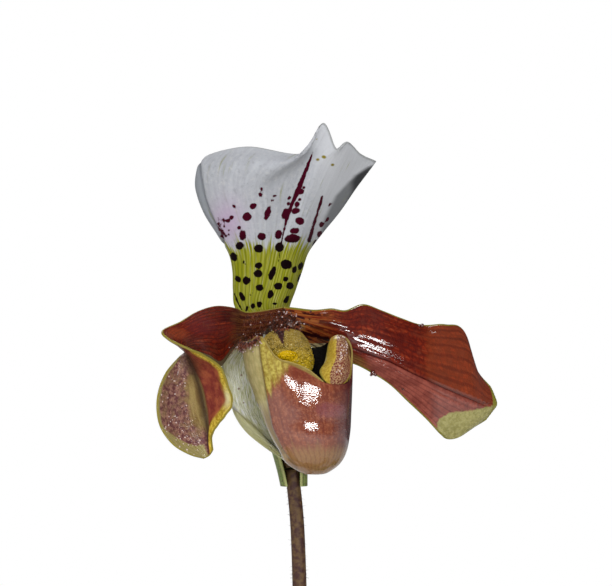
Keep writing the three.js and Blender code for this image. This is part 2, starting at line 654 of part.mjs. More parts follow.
function columnGeometry() {
  const rings = columnRadii.map((radius, i) => Array.from({ length: columnSides }, (_, j) => {
    const angle = (j / columnSides) * 2 * Math.PI;
    return columnStart.clone().addScaledVector(forward, i * columnStep)
      .addScaledVector(leftward, radius * Math.cos(angle))
      .add(new THREE.Vector3(0, 0, radius * Math.sin(angle) - i * columnDroop));
  }));
  const shield = blade(surfaceGrid(staminodeRows.map((row) => row.map(seen)), 8, 8), staminodeThickness, 0.6);
  const boss = new THREE.SphereGeometry(1, 10, 8);
  boss.scale(...bossSize);
  boss.translate(...seen(bossPlace).toArray());
  return toGeometry(toSolid(loft(rings)).add(toSolid(shield)).add(toSolid(boss)));
}

function blossomBlade(rows, acrossSteps, alongSteps) {
  return blade(surfaceGrid(rows.map((row) => row.map(seen)), acrossSteps, alongSteps), blossomThickness);
}

// The bract: a keeled sheath, open towards the front, from the scape's top up round the ovary
function bractGeometry() {
  const route = [...scapeRoute.slice(0, 2).reverse(), ...ovaryRoute.slice(1).reverse()];
  const curve = new THREE.CatmullRomCurve3(route.map((p) => new THREE.Vector3(...p)));
  const grid = [];
  for (let i = 0; i <= bractSteps; i += 1) {
    const t = i / bractSteps;
    const centre = curve.getPointAt(THREE.MathUtils.lerp(bractFoot, bractTip, t));
    const reach = THREE.MathUtils.degToRad(smooth(bractReachAlong, t));
    const radius = smooth(bractRadiusAlong, t);
    grid.push([-1, -0.66, -0.33, 0, 0.33, 0.66, 1].map((q) => {
      const angle = Math.PI / 2 + q * reach;
      return centre.clone().add(new THREE.Vector3(radius * Math.cos(angle), radius * Math.sin(angle), 0));
    }));
  }
  return blade(grid, bractThickness, 1);
}

const ovaryRadius = (t, angle) => smooth(ovaryRadiusAlong, t) * (1 + 0.1 * Math.cos(ovaryRibs * angle));
const taperedScape = (t) => scapeRadius - scapeTaper * (1 - t);

const bloom = new THREE.Group();
bloom.position.copy(bloomCentre);
bloom.add(part('dorsal_sepal', blossomBlade(dorsalRows, 18, 18), colours.dorsal));
bloom.add(part('synsepal', blossomBlade(synsepalRows, 10, 14), colours.synsepal));
bloom.add(part('petal_left', blossomBlade(leftPetalRows, 8, 32), colours.petal, 0.45));
bloom.add(part('petal_right', blossomBlade(rightPetalRows, 8, 22), colours.petal, 0.45));
bloom.add(part('lip', lipGeometry(), colours.lip, 0.35));
bloom.add(part('column', columnGeometry(), colours.column));
bloom.add(part('ovary', stalk(ovaryRoute, 10, 18, ovaryRadius), colours.stalk));
bloom.add(part('bract', bractGeometry(), colours.bract));
bloom.add(part('scape', stalk(scapeRoute, 16, 10, taperedScape), colours.stalk));

const plant = new THREE.Group();
plant.add(part('pot', potGeometry(), colours.clay, 0.85));
plant.add(part('bark_medium', mediumGeometry(), colours.bark, 0.95));
for (const growth of growths) plant.add(growthGroup(growth));
plant.add(bloom);

export default plant;
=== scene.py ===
"""The finished look of a potted slipper orchid, Paphiopedilum insigne, over its solid model.

Sizes are in millimetres until the meshes are made. The bloom is drawn as the camera sees it: its
points are [pixels right, pixels down, millimetres back], as in the solid model's own tables.
"""

import math
import random

import bpy
import numpy as np
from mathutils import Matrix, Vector


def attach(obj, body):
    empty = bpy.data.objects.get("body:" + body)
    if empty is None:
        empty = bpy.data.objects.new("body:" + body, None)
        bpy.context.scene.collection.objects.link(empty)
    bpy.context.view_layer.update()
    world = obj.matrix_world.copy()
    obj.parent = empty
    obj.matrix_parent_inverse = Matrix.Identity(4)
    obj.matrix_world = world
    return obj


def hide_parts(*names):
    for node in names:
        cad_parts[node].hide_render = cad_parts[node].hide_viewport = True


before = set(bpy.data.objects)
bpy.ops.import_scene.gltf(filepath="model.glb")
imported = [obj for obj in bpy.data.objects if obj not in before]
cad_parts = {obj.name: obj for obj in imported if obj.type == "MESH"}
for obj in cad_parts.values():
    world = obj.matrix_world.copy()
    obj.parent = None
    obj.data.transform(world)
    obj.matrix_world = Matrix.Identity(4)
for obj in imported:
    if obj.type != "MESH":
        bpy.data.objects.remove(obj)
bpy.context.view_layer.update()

MM = 0.001

# Places from 0 to 1 at which curves and routes are looked up
CURVE_PLACES = np.linspace(0, 1, 300)
ROUTE_PLACES = np.linspace(0, 1, 400)

# The camera's view of the bloom
IMAGE_WIDTH_PIXELS = 612
BLOOM_WIDTH = 94
BLOOM_WIDTH_PIXELS = 340
PIXEL = BLOOM_WIDTH / BLOOM_WIDTH_PIXELS
VIEW_DISTANCE = 800
VIEW_RIGHT, VIEW_DOWN = 306, 293
COLUMN_RIGHT, COLUMN_DOWN = 282, 322
BLOOM_CENTRE = np.array([0, -8, 300])
SENSOR_WIDTH = 36

# The way the lip and the column face, turned from the view
FACING = math.radians(40)
FORWARD = np.array([math.sin(FACING), -math.cos(FACING), 0])
LEFTWARD = np.array([-math.cos(FACING), -math.sin(FACING), 0])
UPWARD = np.array([0, 0, 1])

# Sheets: rows of points from the foot to the far end, each from side to side
SHEET_THICKNESS = 0.75

DORSAL_ROWS = [
    [[253, 322, 8.5], [256, 321, 7.4], [261, 320.5, 6.5], [266, 320, 6.2], [271, 320, 6.2],
     [276, 320, 6.3], [281, 320.5, 6.8], [286, 321, 7.6], [290, 322, 8.6]],
    [[236, 308, 8.5], [239, 307, 7], [248, 306, 5.3], [257, 305, 4.9], [266, 305, 5],
     [274, 305, 5.2], [281, 306, 5.8], [286, 307, 7.6], [289, 308, 9.4]],
    [[233.5, 290, 8.5], [237, 289, 6.4], [248, 287.5, 4.2], [260, 286.5, 4], [270.5, 286, 4.5],
     [279, 287, 4.6], [287, 287.5, 5.6], [292.5, 288.5, 8.2], [295, 290, 10.6]],
    [[233, 271, 8.5], [237, 270, 6], [249, 268.5, 3.4], [263, 267.5, 3.2], [275, 267, 4],
     [284, 267.5, 4.1], [292, 268.5, 5.4], [298, 270, 8.4], [301.5, 271, 11.4]],
    [[229, 253, 8.2], [233.5, 252, 5.4], [248, 250, 2.3], [265, 249.5, 2.2], [279, 249, 3.3],
     [289, 249, 3.4], [298, 249.5, 5.2], [304.5, 251, 8.8], [308, 252, 12]],
    [[217.5, 234, 8], [223, 233, 4.6], [243, 231, 0.8], [265, 229.5, 0.6], [284.5, 228, 2.4],
     [296, 228.5, 2.3], [307, 229.5, 4.4], [316, 231.5, 9.2], [322, 233, 13]],
    [[204, 212, 7.6], [210, 211, 3.6], [235, 208, -1.4], [265, 206, -1.6], [291.5, 205, 1],
     [304, 205, 0.8], [317, 206.5, 3.4], [330, 209, 9], [340, 211, 13.6]],
    [[196, 188, 6.8], [202, 186.5, 2.6], [231, 183, -3.6], [267, 181, -4.6], [300, 180, -0.6],
     [314, 180, -1.3], [329, 180.5, 1.4], [344, 184, 7.8], [356, 188, 12.6]],
    [[197.5, 170, 5.8], [203, 167, 2], [236, 163.5, -4.8], [284, 164, -6.2], [308, 158, -2.8],
     [323, 160, -3.8], [338, 161.5, -1.2], [355, 165, 6], [371, 168, 11.6]],
    [[200.5, 162.5, 6], [213, 153.5, 4], [250, 147, -1.4], [302, 153.5, -3.8], [323, 123, -8],
     [336.5, 148.5, -5.5], [348, 142, -4], [361, 154, 4], [376, 161, 11]],
]

SYNSEPAL_ROWS = [
    [[257, 337, 6.5], [261, 336, 5.8], [267, 335.5, 5.4], [273, 336, 5.8], [278, 337, 6.6]],
    [[236, 346, 1.5], [244, 346.5, 1.5], [267, 348, 4], [289, 347, 6], [299, 346, 8]],
    [[222, 364, -2.5], [230, 365, -2.3], [267, 367, 2.8], [300, 366, 6], [311, 364, 8.4]],
    [[227.5, 383, -3.6], [234, 385, -3.8], [269, 390, 2], [305, 387, 5.4], [317, 384, 8]],
    [[231, 406, -4.2], [238, 407, -4.8], [273, 413, 1.2], [307, 409, 4.6], [318, 406, 7.2]],
    [[243, 428, -3.2], [250, 424, -4.6], [279, 433, 0.4], [306, 429, 3.6], [316, 427, 6]],
    [[262, 445, -2.2], [268, 440, -3.6], [286, 449, -0.2], [305, 447, 2.4], [313, 445, 4.6]],
    [[290, 464, -1.8], [291.5, 461.5, -2.2], [296, 466, -1.2], [303, 464.5, 0], [307, 462, 0.8]],
]

LEFT_PETAL_ROWS = [
    [[262, 338, 0.5], [264, 331, 0.2], [274, 323, 0.2], [283, 314, 1.2], [287, 306, 1.6]],
    [[243, 342, -5], [244, 334, -5.6], [245, 327, -5.4], [246, 320, -4.8], [249, 312, -3.8]],
    [[232, 351, -10], [232, 337, -11], [233, 327, -10.6], [234, 317, -9], [235, 308, -7]],
    [[220, 367, -13.5], [219.5, 346, -15.6], [218, 330, -15.4], [217, 317, -13.4], [216, 306, -11]],
    [[210.5, 359.5, -17], [206, 344, -19.6], [203, 331.5, -20], [200, 321, -19], [197, 311.5, -17]],
    [[199.5, 353, -19], [194, 343.5, -21.6], [189.5, 336, -23], [184, 328.5, -23.6], [180, 321.5, -23.2]],
    [[193, 350.5, -20], [186.5, 346, -22.8], [180, 341, -25], [171.5, 335, -26.8], [162, 330.5, -28.4]],
    [[189, 351.5, -20.5], [185, 349.5, -23.4], [181, 347, -26.4], [175.5, 343, -29], [168, 339, -31]],
    [[185, 353.5, -21], [186, 353, -23.8], [187, 352.3, -26.6], [188.5, 351, -29.4], [190.5, 349.5, -32]],
    [[177, 359, -23], [183, 359, -23.6], [190.5, 359.5, -25.6], [197, 357.5, -28.6], [203, 354.5, -31]],
    [[166, 372, -26], [177, 372, -23.8], [195, 373, -22.8], [207, 367, -25.6], [218, 365, -29.4]],
    [[158.5, 390, -28], [175, 389, -24], [200, 389, -21.4], [215, 384, -24], [228, 381, -28]],
    [[156.5, 409, -28], [175, 408, -23.8], [203.5, 406, -21], [219, 402, -23.4], [232, 402, -27]],
    [[160.5, 428, -27], [178, 426, -23.4], [206, 419, -21.2], [216, 416, -23], [226, 416.5, -25.6]],
    [[173, 445, -26], [188, 440, -23.4], [208, 430, -22], [211, 427.5, -22.8], [215, 428, -24]],
    [[190, 455, -25], [199, 450, -23.6], [208, 444, -23], [210, 441.5, -23.2], [212, 439, -23.6]],
    [[204, 458.5, -24], [206.5, 457.5, -23.8], [209, 456, -23.6], [211, 453.5, -23.6], [213, 450, -23.8]],
]

RIGHT_PETAL_ROWS = [
    [[283, 306.5, 0.4], [286, 314, 0], [289, 322, 0.2], [291, 330, 0.8], [293, 336, 2]],
    [[311, 309.5, 3.2], [311, 320, 2.4], [311, 331, 3.2], [311, 339, 5.1], [311, 347, 7.2]],
    [[330, 308.5, 5.2], [330, 323, 3.8], [330, 338.5, 5.5], [331, 348, 7.2], [331, 357, 8]],
    [[345, 310, 5.6], [347, 327, 4.4], [349, 346, 5.2], [350, 356, 6], [351, 364, 6.8]],
    [[362, 304.5, 8.4], [365, 327, 5.8], [368, 353, 5.2], [369, 364, 5.6], [369, 372, 6.6]],
    [[382, 310, 8.8], [386, 333, 6.4], [391, 363, 6], [391, 376, 6.2], [390, 386, 7.2]],
    [[401, 318.5, 9.6], [408, 341, 7.6], [414, 374, 7], [413, 389, 7.2], [409, 403, 8.2]],
    [[424, 324.5, 12], [431, 348, 9.2], [437, 385, 8.6], [433, 403, 8.8], [427, 420, 9.8]],
    [[445, 324.5, 13.6], [452, 351, 11.2], [457, 393, 10.6], [450, 415, 10.8], [440, 434, 11.8]],
    [[462, 328.5, 15.5], [469, 357, 13.2], [473, 399, 12.4], [463, 423, 12.8], [449, 439.5, 13.8]],
    [[473, 364, 16.5], [480, 380, 15.4], [485, 403, 14.8], [476, 422, 14.8], [465, 432.5, 15.6]],
    [[490, 387, 18], [494, 395, 17.6], [497, 404, 17.4], [493, 410, 17.2], [486, 420, 17]],
]
PETAL_VEIN_COUNT = 14
PETAL_VEIN_DEPTH = 0.025

# The lip's levels from the toe up: pixels down, left and right edge in pixels, and depth
LIP_LEVELS = [
    [473.2, 313, 319, -13], [471.5, 303, 327, -13], [463, 289.5, 338.5, -12.8], [451, 280, 345, -12.4],
    [432, 269, 348.5, -12], [414, 262, 349.5, -11.5], [390, 253, 350.5, -10.6], [370, 246, 351, -9.6],
    [350, 243, 351, -9], [332, 244, 350, -8.8],
]
LIP_LEFT_SHARE = 0.875
LIP_RIGHT_SHARE = 0.973
LIP_FRONT_SHARE = 0.93
LIP_BACK_SHARE = 0.65
# Height of the lip's rim, in pixels down, at every 30 degrees from its front round to its left
LIP_RIM_DOWN = [383, 371.5, 357, 345, 346, 350, 350, 351, 349, 337, 349, 377]
# The small lobe of the rim beside the column: its place and reach in degrees, its rise in pixels
LIP_LOBE_TURN = -289
LIP_LOBE_REACH = 11
LIP_LOBE_RISE = 14
LIP_ROLL_RADIUS = 0.28
LIP_ROLL_TURN = math.radians(100)
LIP_THICKNESS = 0.75
LIP_SIDES, LIP_STEPS, LIP_ROLL_STEPS = 200, 120, 6
# The middle of the pouch's front, in pixels right
LIP_FRONT_RIGHT = 308
# Where the front's flatness starts, lessens and stops, in pixels down, and starts in pixels right
LIP_FLAT_START, LIP_FLAT_LESS, LIP_FLAT_STOP = (330, 356), (392, 436), (436, 462)
LIP_FLAT_LEFT = (270, 290)
# Where the slant of the waves stops, in pixels down
LIP_SLANT_STOP = (400, 415)
# How far aside of the front's middle its flatness and its waves fade in, in pixels
LIP_FLAT_SIDE, LIP_WAVE_SIDE = (47, 29), (34, 16)
# How far the pouch's front bulges at heights in pixels down
LIP_BULGE = [
    [340, -0.57], [352, -0.52], [362, -0.3], [368, -0.1], [376, 0.13], [384, 0.27], [392, 0.36], [400, 0.38],
    [406, 0.36], [413, 0.285], [419, 0.225], [423, 0.21], [427, 0.27], [431, 0.385], [435, 0.51], [439, 0.6],
    [443, 0.62], [449, 0.51], [455, 0.3], [462, 0.1], [468, 0],
]
# The crease that bounds the lip's pale left side
LIP_CREASE = [[258.7, 338], [260.5, 355], [263, 371], [267.5, 400], [273, 428], [283.5, 448.5],
              [297, 466]]
# The lip's hairy left shoulder, in 200ths of a turn
LIP_HAIRS = [113, 159]
LIP_HAIRS_COUNT = 700

EAR_THICKNESS = 0.9
EAR_ROWS = [
    [[341, 387, -18], [336, 387, -19], [329.5, 384.5, -18.8], [322.5, 379.5, -17.4]],
    [[349, 378.5, -14], [340, 375, -17], [330, 371.5, -16.8], [319.5, 372, -14.8]],
    [[350.5, 367, -10.6], [344, 361, -14.4], [335, 360, -14.8], [324.5, 363.5, -11.8]],
    [[349.5, 356, -7.4], [344.5, 349, -11.2], [336, 348.5, -12.2], [327, 354, -9.4]],
    [[347, 344, -3.8], [343, 340.5, -8.2], [336.5, 340.5, -9.6], [328.5, 345, -7.4]],
    [[341, 337, -1.4], [340, 335.8, -4.8], [336.5, 335.8, -6], [331, 338.5, -5.2]],
]

STAMINODE_THICKNESS = 1.5
STAMINODE_ROWS = [
    [[268.5, 335, -4.2], [278, 332, -5.2], [288, 331, -5.4], [295, 332.5, -4.8], [302, 335, -3.6]],
    [[263.5, 341, -6.6], [276, 341, -8.4], [289, 340, -8.8], [299, 340, -7.8], [307, 342, -5.4]],
    [[268, 352, -8.6], [279, 352, -10], [292, 351, -10.4], [303, 350, -9.2], [311, 351, -6.8]],
    [[276, 361, -9.6], [286, 362, -10.8], [297, 362, -11], [307, 361, -9.8], [313, 362, -7.6]],
    [[289, 368, -10], [294, 369, -10.6], [300, 370, -10.8], [306, 371, -10], [311, 371, -8.4]],
]
# The staminode's dark streak: [pixels right, pixels down, width in pixels]
STAMINODE_STREAK = [[279, 329, 12], [281, 336, 8], [284, 346, 2]]

COLUMN_START = np.array([-2.9, 3.4, 0.4])
COLUMN_RADII = [2, 2.5, 2.7, 2.6, 2.2]
COLUMN_STEP = 2.6
COLUMN_DROOP = 0.35
COLUMN_STEPS = 60
COLUMN_HAIRS_COUNT = 1000
# From this step on, the column's hairs point forward
COLUMN_FACE_STEP = 48
# The hairs above the staminode, in pixels right and down
BROW_RIGHT, BROW_DOWN, BROW_DEPTH = (274, 288), (328, 334), -6.4
BROW_HAIRS_COUNT = 120

# Routes of the stalks, in millimetres from the bloom's centre
OVARY_ROUTE = [[-4.5, 8.9, -1.6], [-5.5, 12.4, -6], [-4.4, 15.6, -15], [-0.5, 17.2, -28], [2.6, 17.4, -41]]
SCAPE_ROUTE = [[2.7, 17.4, -41.8], [4.4, 17.6, -62], [5, 18.6, -100], [3.2, 20.6, -150], [0, 22, -210]]

OVARY_RADII = [2.4, 2.9, 3.1, 2.7, 2]
SCAPE_TOP_RADIUS = 1.95
SCAPE_WIDENING = 0.25
STALK_STEPS, STALK_SIDES = 160, 72
# The stalks' hairs: the steps between which they stand, and their counts
STALK_HAIRY_STEPS = (4, 155)
OVARY_HAIRS_COUNT, SCAPE_HAIRS_COUNT = 500, 900

# Spots of the dorsal sepal: pixels right and down, width and height in pixels, and lean in degrees
SPOTS = [
    [253.2, 205.6, 7.6, 6.4, -25], [247.1, 216.4, 8.9, 8.9, 20], [267.3, 212.6, 6, 15.3, 14],
    [261.5, 188.6, 6.5, 3, 60], [260.3, 194.4, 5, 3.8, 50], [274.3, 195.4, 4, 2.8, 0],
    [272.1, 199.8, 3, 3, 0], [234.1, 205.6, 5.5, 3, 50], [232.2, 217, 4.5, 4.5, 0],
    [228.4, 220.2, 5.5, 3.6, -30], [239.6, 227.2, 3.8, 3.8, 0], [243, 235, 6.6, 11, 0],
    [240.5, 245.2, 8.6, 8, -30], [261.5, 236.2, 8.7, 7.7, 0], [278.1, 234.3, 7, 10.2, 15],
    [258.7, 248.3, 9.6, 8.9, 0], [279.1, 247, 9.4, 9.8, 20], [299.5, 220.6, 8.3, 7.7, 0],
    [294.4, 230.4, 8.8, 6.4, -15], [292.1, 238.2, 15.3, 8.6, -8], [295.7, 210.7, 9, 6, -22],
    [301.1, 191.5, 6.4, 6, 0], [297.2, 204.3, 5.5, 5.5, 0], [284.5, 213.2, 5.8, 11.5, 18],
    [288.3, 197.9, 3.4, 4.6, 20], [288.1, 203.4, 3.6, 4.2, 0], [328.8, 204.3, 2.4, 5.4, 34],
    [326.3, 219, 2.6, 5.8, 34], [320.6, 223.8, 4.8, 5.8, 25], [318.5, 233.6, 5, 6.8, 25],
    [313.6, 242.8, 4, 7.6, 28], [234.8, 256.4, 6.6, 9.4, -25], [258.6, 265.3, 7.6, 6.6, 0],
    [258, 273.5, 8.6, 8, 0], [285.8, 264.2, 10.6, 10, 0], [272, 273.2, 6.8, 14.6, 22],
    [293.4, 269.3, 4.6, 7.6, 20], [299.5, 265.5, 5, 8.6, 24], [239.2, 279, 5.4, 7, -25],
    [247, 280.4, 7.6, 8.4, 20], [259.6, 287.4, 8, 6.6, 0], [278.1, 285.9, 8, 8, 0],
    [284.9, 278.9, 5.2, 5.4, 0], [289, 285.4, 7.2, 7.4, 25], [242.7, 296.6, 5.2, 10.4, -24],
    [270.5, 293.8, 6.2, 9.2, 16], [285.4, 299.3, 4.8, 8.2, 30], [253.2, 305.4, 4.6, 5.6, 0],
    [259.4, 304, 5.4, 6.6, 0], [274.7, 303.6, 5, 2.6, 0], [247.5, 308, 3.2, 4.6, 20],
    [298.4, 277.5, 3.8, 9.6, 24], [244.4, 261.4, 1.6, 2.6, 0], [246, 264, 1.8, 1.6, 0],
    [250.6, 294.8, 1.8, 1.8, 0], [252.6, 292.6, 1.4, 1.4, 0],
    [305, 174, 3, 4.4, 20], [300.4, 184.6, 4, 3.6, 30], [304.2, 187.4, 3.4, 3, 0],
    [293.6, 197.6, 3, 4, 10], [299.8, 199.4, 4, 3, 0], [289.6, 210.4, 3.4, 5, 15],
]
# Streaks of run-together spots: [pixels right, pixels down, width in pixels] along each
STREAKS = [
    [[313.4, 151.4, 1.4], [307.6, 166, 4.4], [302.4, 178.8, 5], [297.2, 191.5, 6.4], [291.4, 204.3, 3.4],
     [287, 216, 4.6], [284.6, 226, 2.6], [283.2, 232.3, 2], [280.7, 247.7, 1.4], [278.3, 262, 0.6]],
    [[321.4, 195.6, 2.2], [319.4, 203.6, 3], [317.4, 209.4, 2.6], [312.6, 224.7, 3], [307.9, 240, 4]],
    [[219.8, 222.5, 1.6], [221.5, 230, 1.6], [224, 238, 1.2]],
    [[235.6, 293.5, 1.2], [238, 301, 1.6], [242.4, 309, 1.6]],
]
SMALL_SPOTS_CENTRE = [224.6, 227.5]
SMALL_SPOTS_REACH = [5.5, 10]
SMALL_SPOTS_COUNT = 24
# The dorsal sepal's crease beside its reflexed left band, its folded right side and its valley, along which
# shade is painted
DORSAL_REFLEX_LINE = [[200, 158], [201.6, 176], [205.7, 197], [210.5, 211], [217, 225], [224, 238]]
DORSAL_FOLD_LINE = [[366, 168], [348, 180], [334, 195], [323, 217], [315, 243]]
DORSAL_BRINK_LINE = [[373, 163], [363, 167.5], [352, 175], [349, 182], [349, 192], [343, 204],
                     [333, 221], [317, 246]]
DORSAL_VALLEY = [[309, 154], [290, 168], [268, 184]]
# Small specks, like the spots above
DORSAL_SPECKS = [[316.4, 138.2, 2.2, 1.76, 0], [324, 156.5, 4, 3.2, 0], [318.3, 159.4, 3.4, 2.72, 0],
                 [331.9, 164.1, 3.4, 2.72, 0]]
SYNSEPAL_SPECKS = [[240.5, 375.5, 2, 2.6, 0], [238, 389, 2.4, 2, 0], [230, 398, 2, 2, 0],
                   [243, 403, 1.6, 1.6, 0]]
# The synsepal's fold, below which it is darker
SYNSEPAL_FOLD = [[222, 397], [232, 407], [254, 425], [280, 452]]
# The right petal's midrib, the dark line near its foot and the edge of its pale tip
PETAL_MIDRIB = [[330, 341], [351.6, 348], [388, 361], [416, 375], [444, 388], [486, 406]]
PETAL_DARK_LINE = [[292, 329], [300, 331.5], [314, 335], [328, 338.5]]
PETAL_TIP_EDGE = [[434, 422], [448, 412.6], [472, 410], [486, 407], [492, 406]]
# Drops on the right petal: pixels right and down, depth, and radius in millimetres
PETAL_DROPS = [[373, 373, 6, 0.8], [375.6, 375, 5.8, 0.45], [371, 375, 6, 0.4], [422, 325.4, 11, 0.6],
               [419, 325.8, 11, 0.4], [403, 389, 6.95, 0.4], [310.5, 311.5, 2.6, 0.35]]
BEAD_RADIUS = 0.14
# Tufts on the petals' feet: their ranges across and along, count, lengths in millimetres and way
PETAL_TUFTS = [
    ("petal_left", LEFT_PETAL_ROWS, [
        ((0.15, 0.95), (0, 0.07), 330, (0.9, 1.7), (-0.2, -0.9, -0.3)),
        ((0, 0.2), (0.01, 0.13), 260, (1.4, 2.8), (-0.5, -0.5, -0.8))]),
    ("petal_right", RIGHT_PETAL_ROWS, [
        ((0.1, 0.9), (0, 0.03), 170, (0.8, 1.5), (0.2, -0.9, -0.2))]),
]
TUFT_COLUMNS, TUFT_ROWS = 60, 400

# Soft patches: the pixels right and down of their middle, and their reach
PATCHES = {
    "blush": ([228, 222], [16, 22]),
    "boss": ([288, 357], [9, 5]),
    # a whitish patch on the left petal's yellow margin: partly its cream colour, partly a painted highlight
    "cream": ([228, 398], [4, 9]),
    "mauve": ([328, 410], [14, 9]),
    "plum": ([200, 326], [17, 10]),
    "ruffle": ([474, 403], [12, 4]),
    "tawny": ([176, 334], [13, 7]),
    # a painted shadow: a dark patch on the left petal's near face beside the column
    "painted_shadow": ([234, 317], [17, 10]),
    "yellow": ([296, 327], [9, 8]),
}

# Leaves, as in the solid model
CROWN_TOP = 95
CROWN_HALF_WIDTH = 8
# Share of the crown's half-size, and height
CROWN_PROFILE = [[0, 71], [0.78, 71], [0.94, 78], [0.92, 86], [0.75, 89], [0, 89.4]]
LEAF_START = CROWN_TOP + 0.7
LEAF_HALF_WIDTH = 13
LEAF_THICKNESS = 1.2
LEAF_STEPS = 400
LEAF_WIDTH_ALONG = [0.34, 0.64, 0.86, 0.96, 1, 1, 0.97, 0.87, 0.14]
LEAF_FOLD_ALONG = [50, 38, 28, 22, 18, 16, 14, 12, 8]
# Each growth: its place, turn and half-length, and its leaves' [offset, length, foot and tip lean, turn]
GROWTHS = {
    "old": ([0, 14], 8, 15.5, [
        [12.5, 168, 24, 118, 2], [-12.5, 160, 22, 112, -18], [8.6, 172, 14, 100, 11],
        [-8.6, 165, 13, 104, -9], [5, 138, 7, 74, 3], [-5, 128, 9, 80, -9]]),
    "young": ([-6, -16], 2, 11.5, [
        [8.6, 142, 26, 112, -16], [-8.6, 135, 24, 108, 15], [4.4, 122, 12, 90, -7],
        [-4.4, 112, 12, 84, 6]]),
}

SHEATH_THICKNESS = 1.0
SHEATH_FOOT = 76

# The bract: its route from the scape's top up the ovary, as in the solid model
BRACT_ROUTE = [[4.4, 17.6, -62], [2.65, 17.4, -41.4], [-0.5, 17.2, -28], [-4.4, 15.6, -15], [-5.5, 12.4, -6]]
BRACT_THICKNESS = 0.7
BRACT_FOOT = 0.27
BRACT_TIP = 0.94
BRACT_REACH_ALONG = [150, 140, 118, 84, 12]
BRACT_RADIUS_ALONG = [3.5, 4.5, 5.3, 6.1, 7]

# The pot and its medium
POT_HEIGHT = 100
POT_BASE_RADIUS = 37
POT_NECK_RADIUS = 48
POT_RIM_RADIUS = 53
POT_RIM_HEIGHT = 20
POT_INNER_BASE = 33.4
POT_INNER_NECK = 48.5
POT_FLOOR = 6
POT_ROUNDING = 1.6
POT_SIDES = 144
DRAIN_HOLE_RADIUS = 4
DRAIN_HOLE_CIRCLE = 19
DRAIN_HOLE_COUNT = 4
DRAIN_HOLE_SIDES = 40
MEDIUM_TOP = 86
MEDIUM_FOOT = 6.4
MEDIUM_GAP = 0.7
MEDIUM_SIDES = 96
CHIP_COUNT = 230
CHIP_LENGTH = 13
CHIP_TOP = 92.5
CHIP_CIRCLE = 45

# Each lamp's turn to the right of the view and height angle in degrees, its distance, width and height
# in metres, and its power in watts
LAMPS = {
    "key": (15, 2, 0.98, 0.2, 0.09, 2.1),
    "front": (-9, 29, 1.2, 0.45, 0.45, 5.2),
    "left": (-56, 5, 0.95, 0.5, 0.5, 1.2),
    "side": (92, -8, 0.9, 0.9, 0.6, 0.12),
    "top": (40, 66, 1.2, 0.22, 0.22, 2.0),
    "back": (205, 40, 1.3, 1.0, 1.0, 7.0),
}
WORLD_LIGHT = 0.1
# In metres
FLOOR_RADIUS = 1.8


def cubic(a, b, c, d, t):
    """A smooth curve from b to c, whose neighbours are a and d, at t from 0 to 1."""
    return b + 0.5 * t * (c - a + t * (2 * a - 5 * b + 4 * c - d + t * (3 * (b - c) + d - a)))


def spline(values, places):
    """Values at places (0 to 1) of a smooth curve through evenly spaced values."""
    points = np.asarray(values, float)
    last = len(points) - 1
    padded = np.concatenate([[2 * points[0] - points[1]], points, [2 * points[-1] - points[-2]]])
    reach = np.clip(np.asarray(places, float) * last, 0, last)
    k = np.minimum(reach.astype(int), last - 1)
    t = (reach - k).reshape((-1,) + (1,) * (points.ndim - 1))
    return cubic(*(padded[k + step] for step in range(4)), t)


def spline_round(values, places):
    """The same round a full turn."""
    points = np.asarray(values, float)
    count = len(points)
    reach = (np.asarray(places, float) % 1) * count
    k = reach.astype(int)
    return cubic(*(points[(k + step) % count] for step in (-1, 0, 1, 2)), reach - k)


def seen(points):
    """Places, from the bloom's centre, of points that are seen at pixels and lie at depths."""
    right, down, depth = np.moveaxis(np.asarray(points, float), -1, 0)
    spread = 1 + depth / VIEW_DISTANCE
    x = ((VIEW_RIGHT - COLUMN_RIGHT) + (right - VIEW_RIGHT) * spread) * PIXEL
    z = ((COLUMN_DOWN - VIEW_DOWN) + (VIEW_DOWN - down) * spread) * PIXEL
    return np.stack([x, depth, z], -1)


def pixels_of(points):
    """Pixels right and down at which places from the bloom's centre are seen."""
    spread = 1 + points[..., 1] / VIEW_DISTANCE
    right = VIEW_RIGHT + (points[..., 0] / PIXEL - (VIEW_RIGHT - COLUMN_RIGHT)) / spread
    down = VIEW_DOWN - (points[..., 2] / PIXEL - (COLUMN_DOWN - VIEW_DOWN)) / spread
    return right, down


def unit(vectors):
    return vectors / np.maximum(np.linalg.norm(vectors, axis=-1, keepdims=True), 1e-9)


def band(values, start, stop):
    """0 up to the start and 1 past the stop, which may be the lower of them, and smooth between."""
    t = np.clip((values - start) / (stop - start), 0, 1)
    return t * t * (3 - 2 * t)


def bell(values, reach):
    """1 where the values are 0, fading to 0 beyond their reach."""
    return np.exp(-(values / reach) ** 2)


def full_turn(steps):
    """Angles evenly round a full turn."""
    return np.arange(steps) / steps * 2 * math.pi


def edge_spaced(steps, both=True):
    """Places from 0 to 1, closer together at the end, or at both ends."""
    close = np.array([0.12, 0.35, 0.65]) / steps
    ends = [np.linspace(0, 1, steps + 1), 1 - close]
    if both:
        ends.append(close)
    return np.unique(np.concatenate(ends))


def sheet_places(across_steps, along_steps, both=True):
    """Places across and along a sheet, by themselves and for each point of its grid."""
    across, along = edge_spaced(across_steps), edge_spaced(along_steps, both)
    return (across, along, *np.meshgrid(across, along))


def surface_grid(rows, across, along):
    """Points of a smooth surface through rows of control points, with a row for each place along."""
    columns = np.stack([spline(row, across) for row in seen(rows)])
    return spline(columns, along)


def sheet_grid(rows, across_steps, along_steps, both=True):
    """A surface's points, their places across and along it, and the pixels where they are seen."""
    across, along, u, v = sheet_places(across_steps, along_steps, both)
    grid = surface_grid(rows, across, along)
    return (grid, u, v, *pixels_of(grid))


def grid_normals(grid, closed=False):
    if closed:
        across = np.roll(grid, -1, 1) - np.roll(grid, 1, 1)
    else:
        across = np.gradient(grid, axis=1)
    return unit(np.cross(across, np.gradient(grid, axis=0)))


def relieved(grid, relief):
    """A grid whose points are moved along its normals."""
    return grid + grid_normals(grid) * relief[..., None]


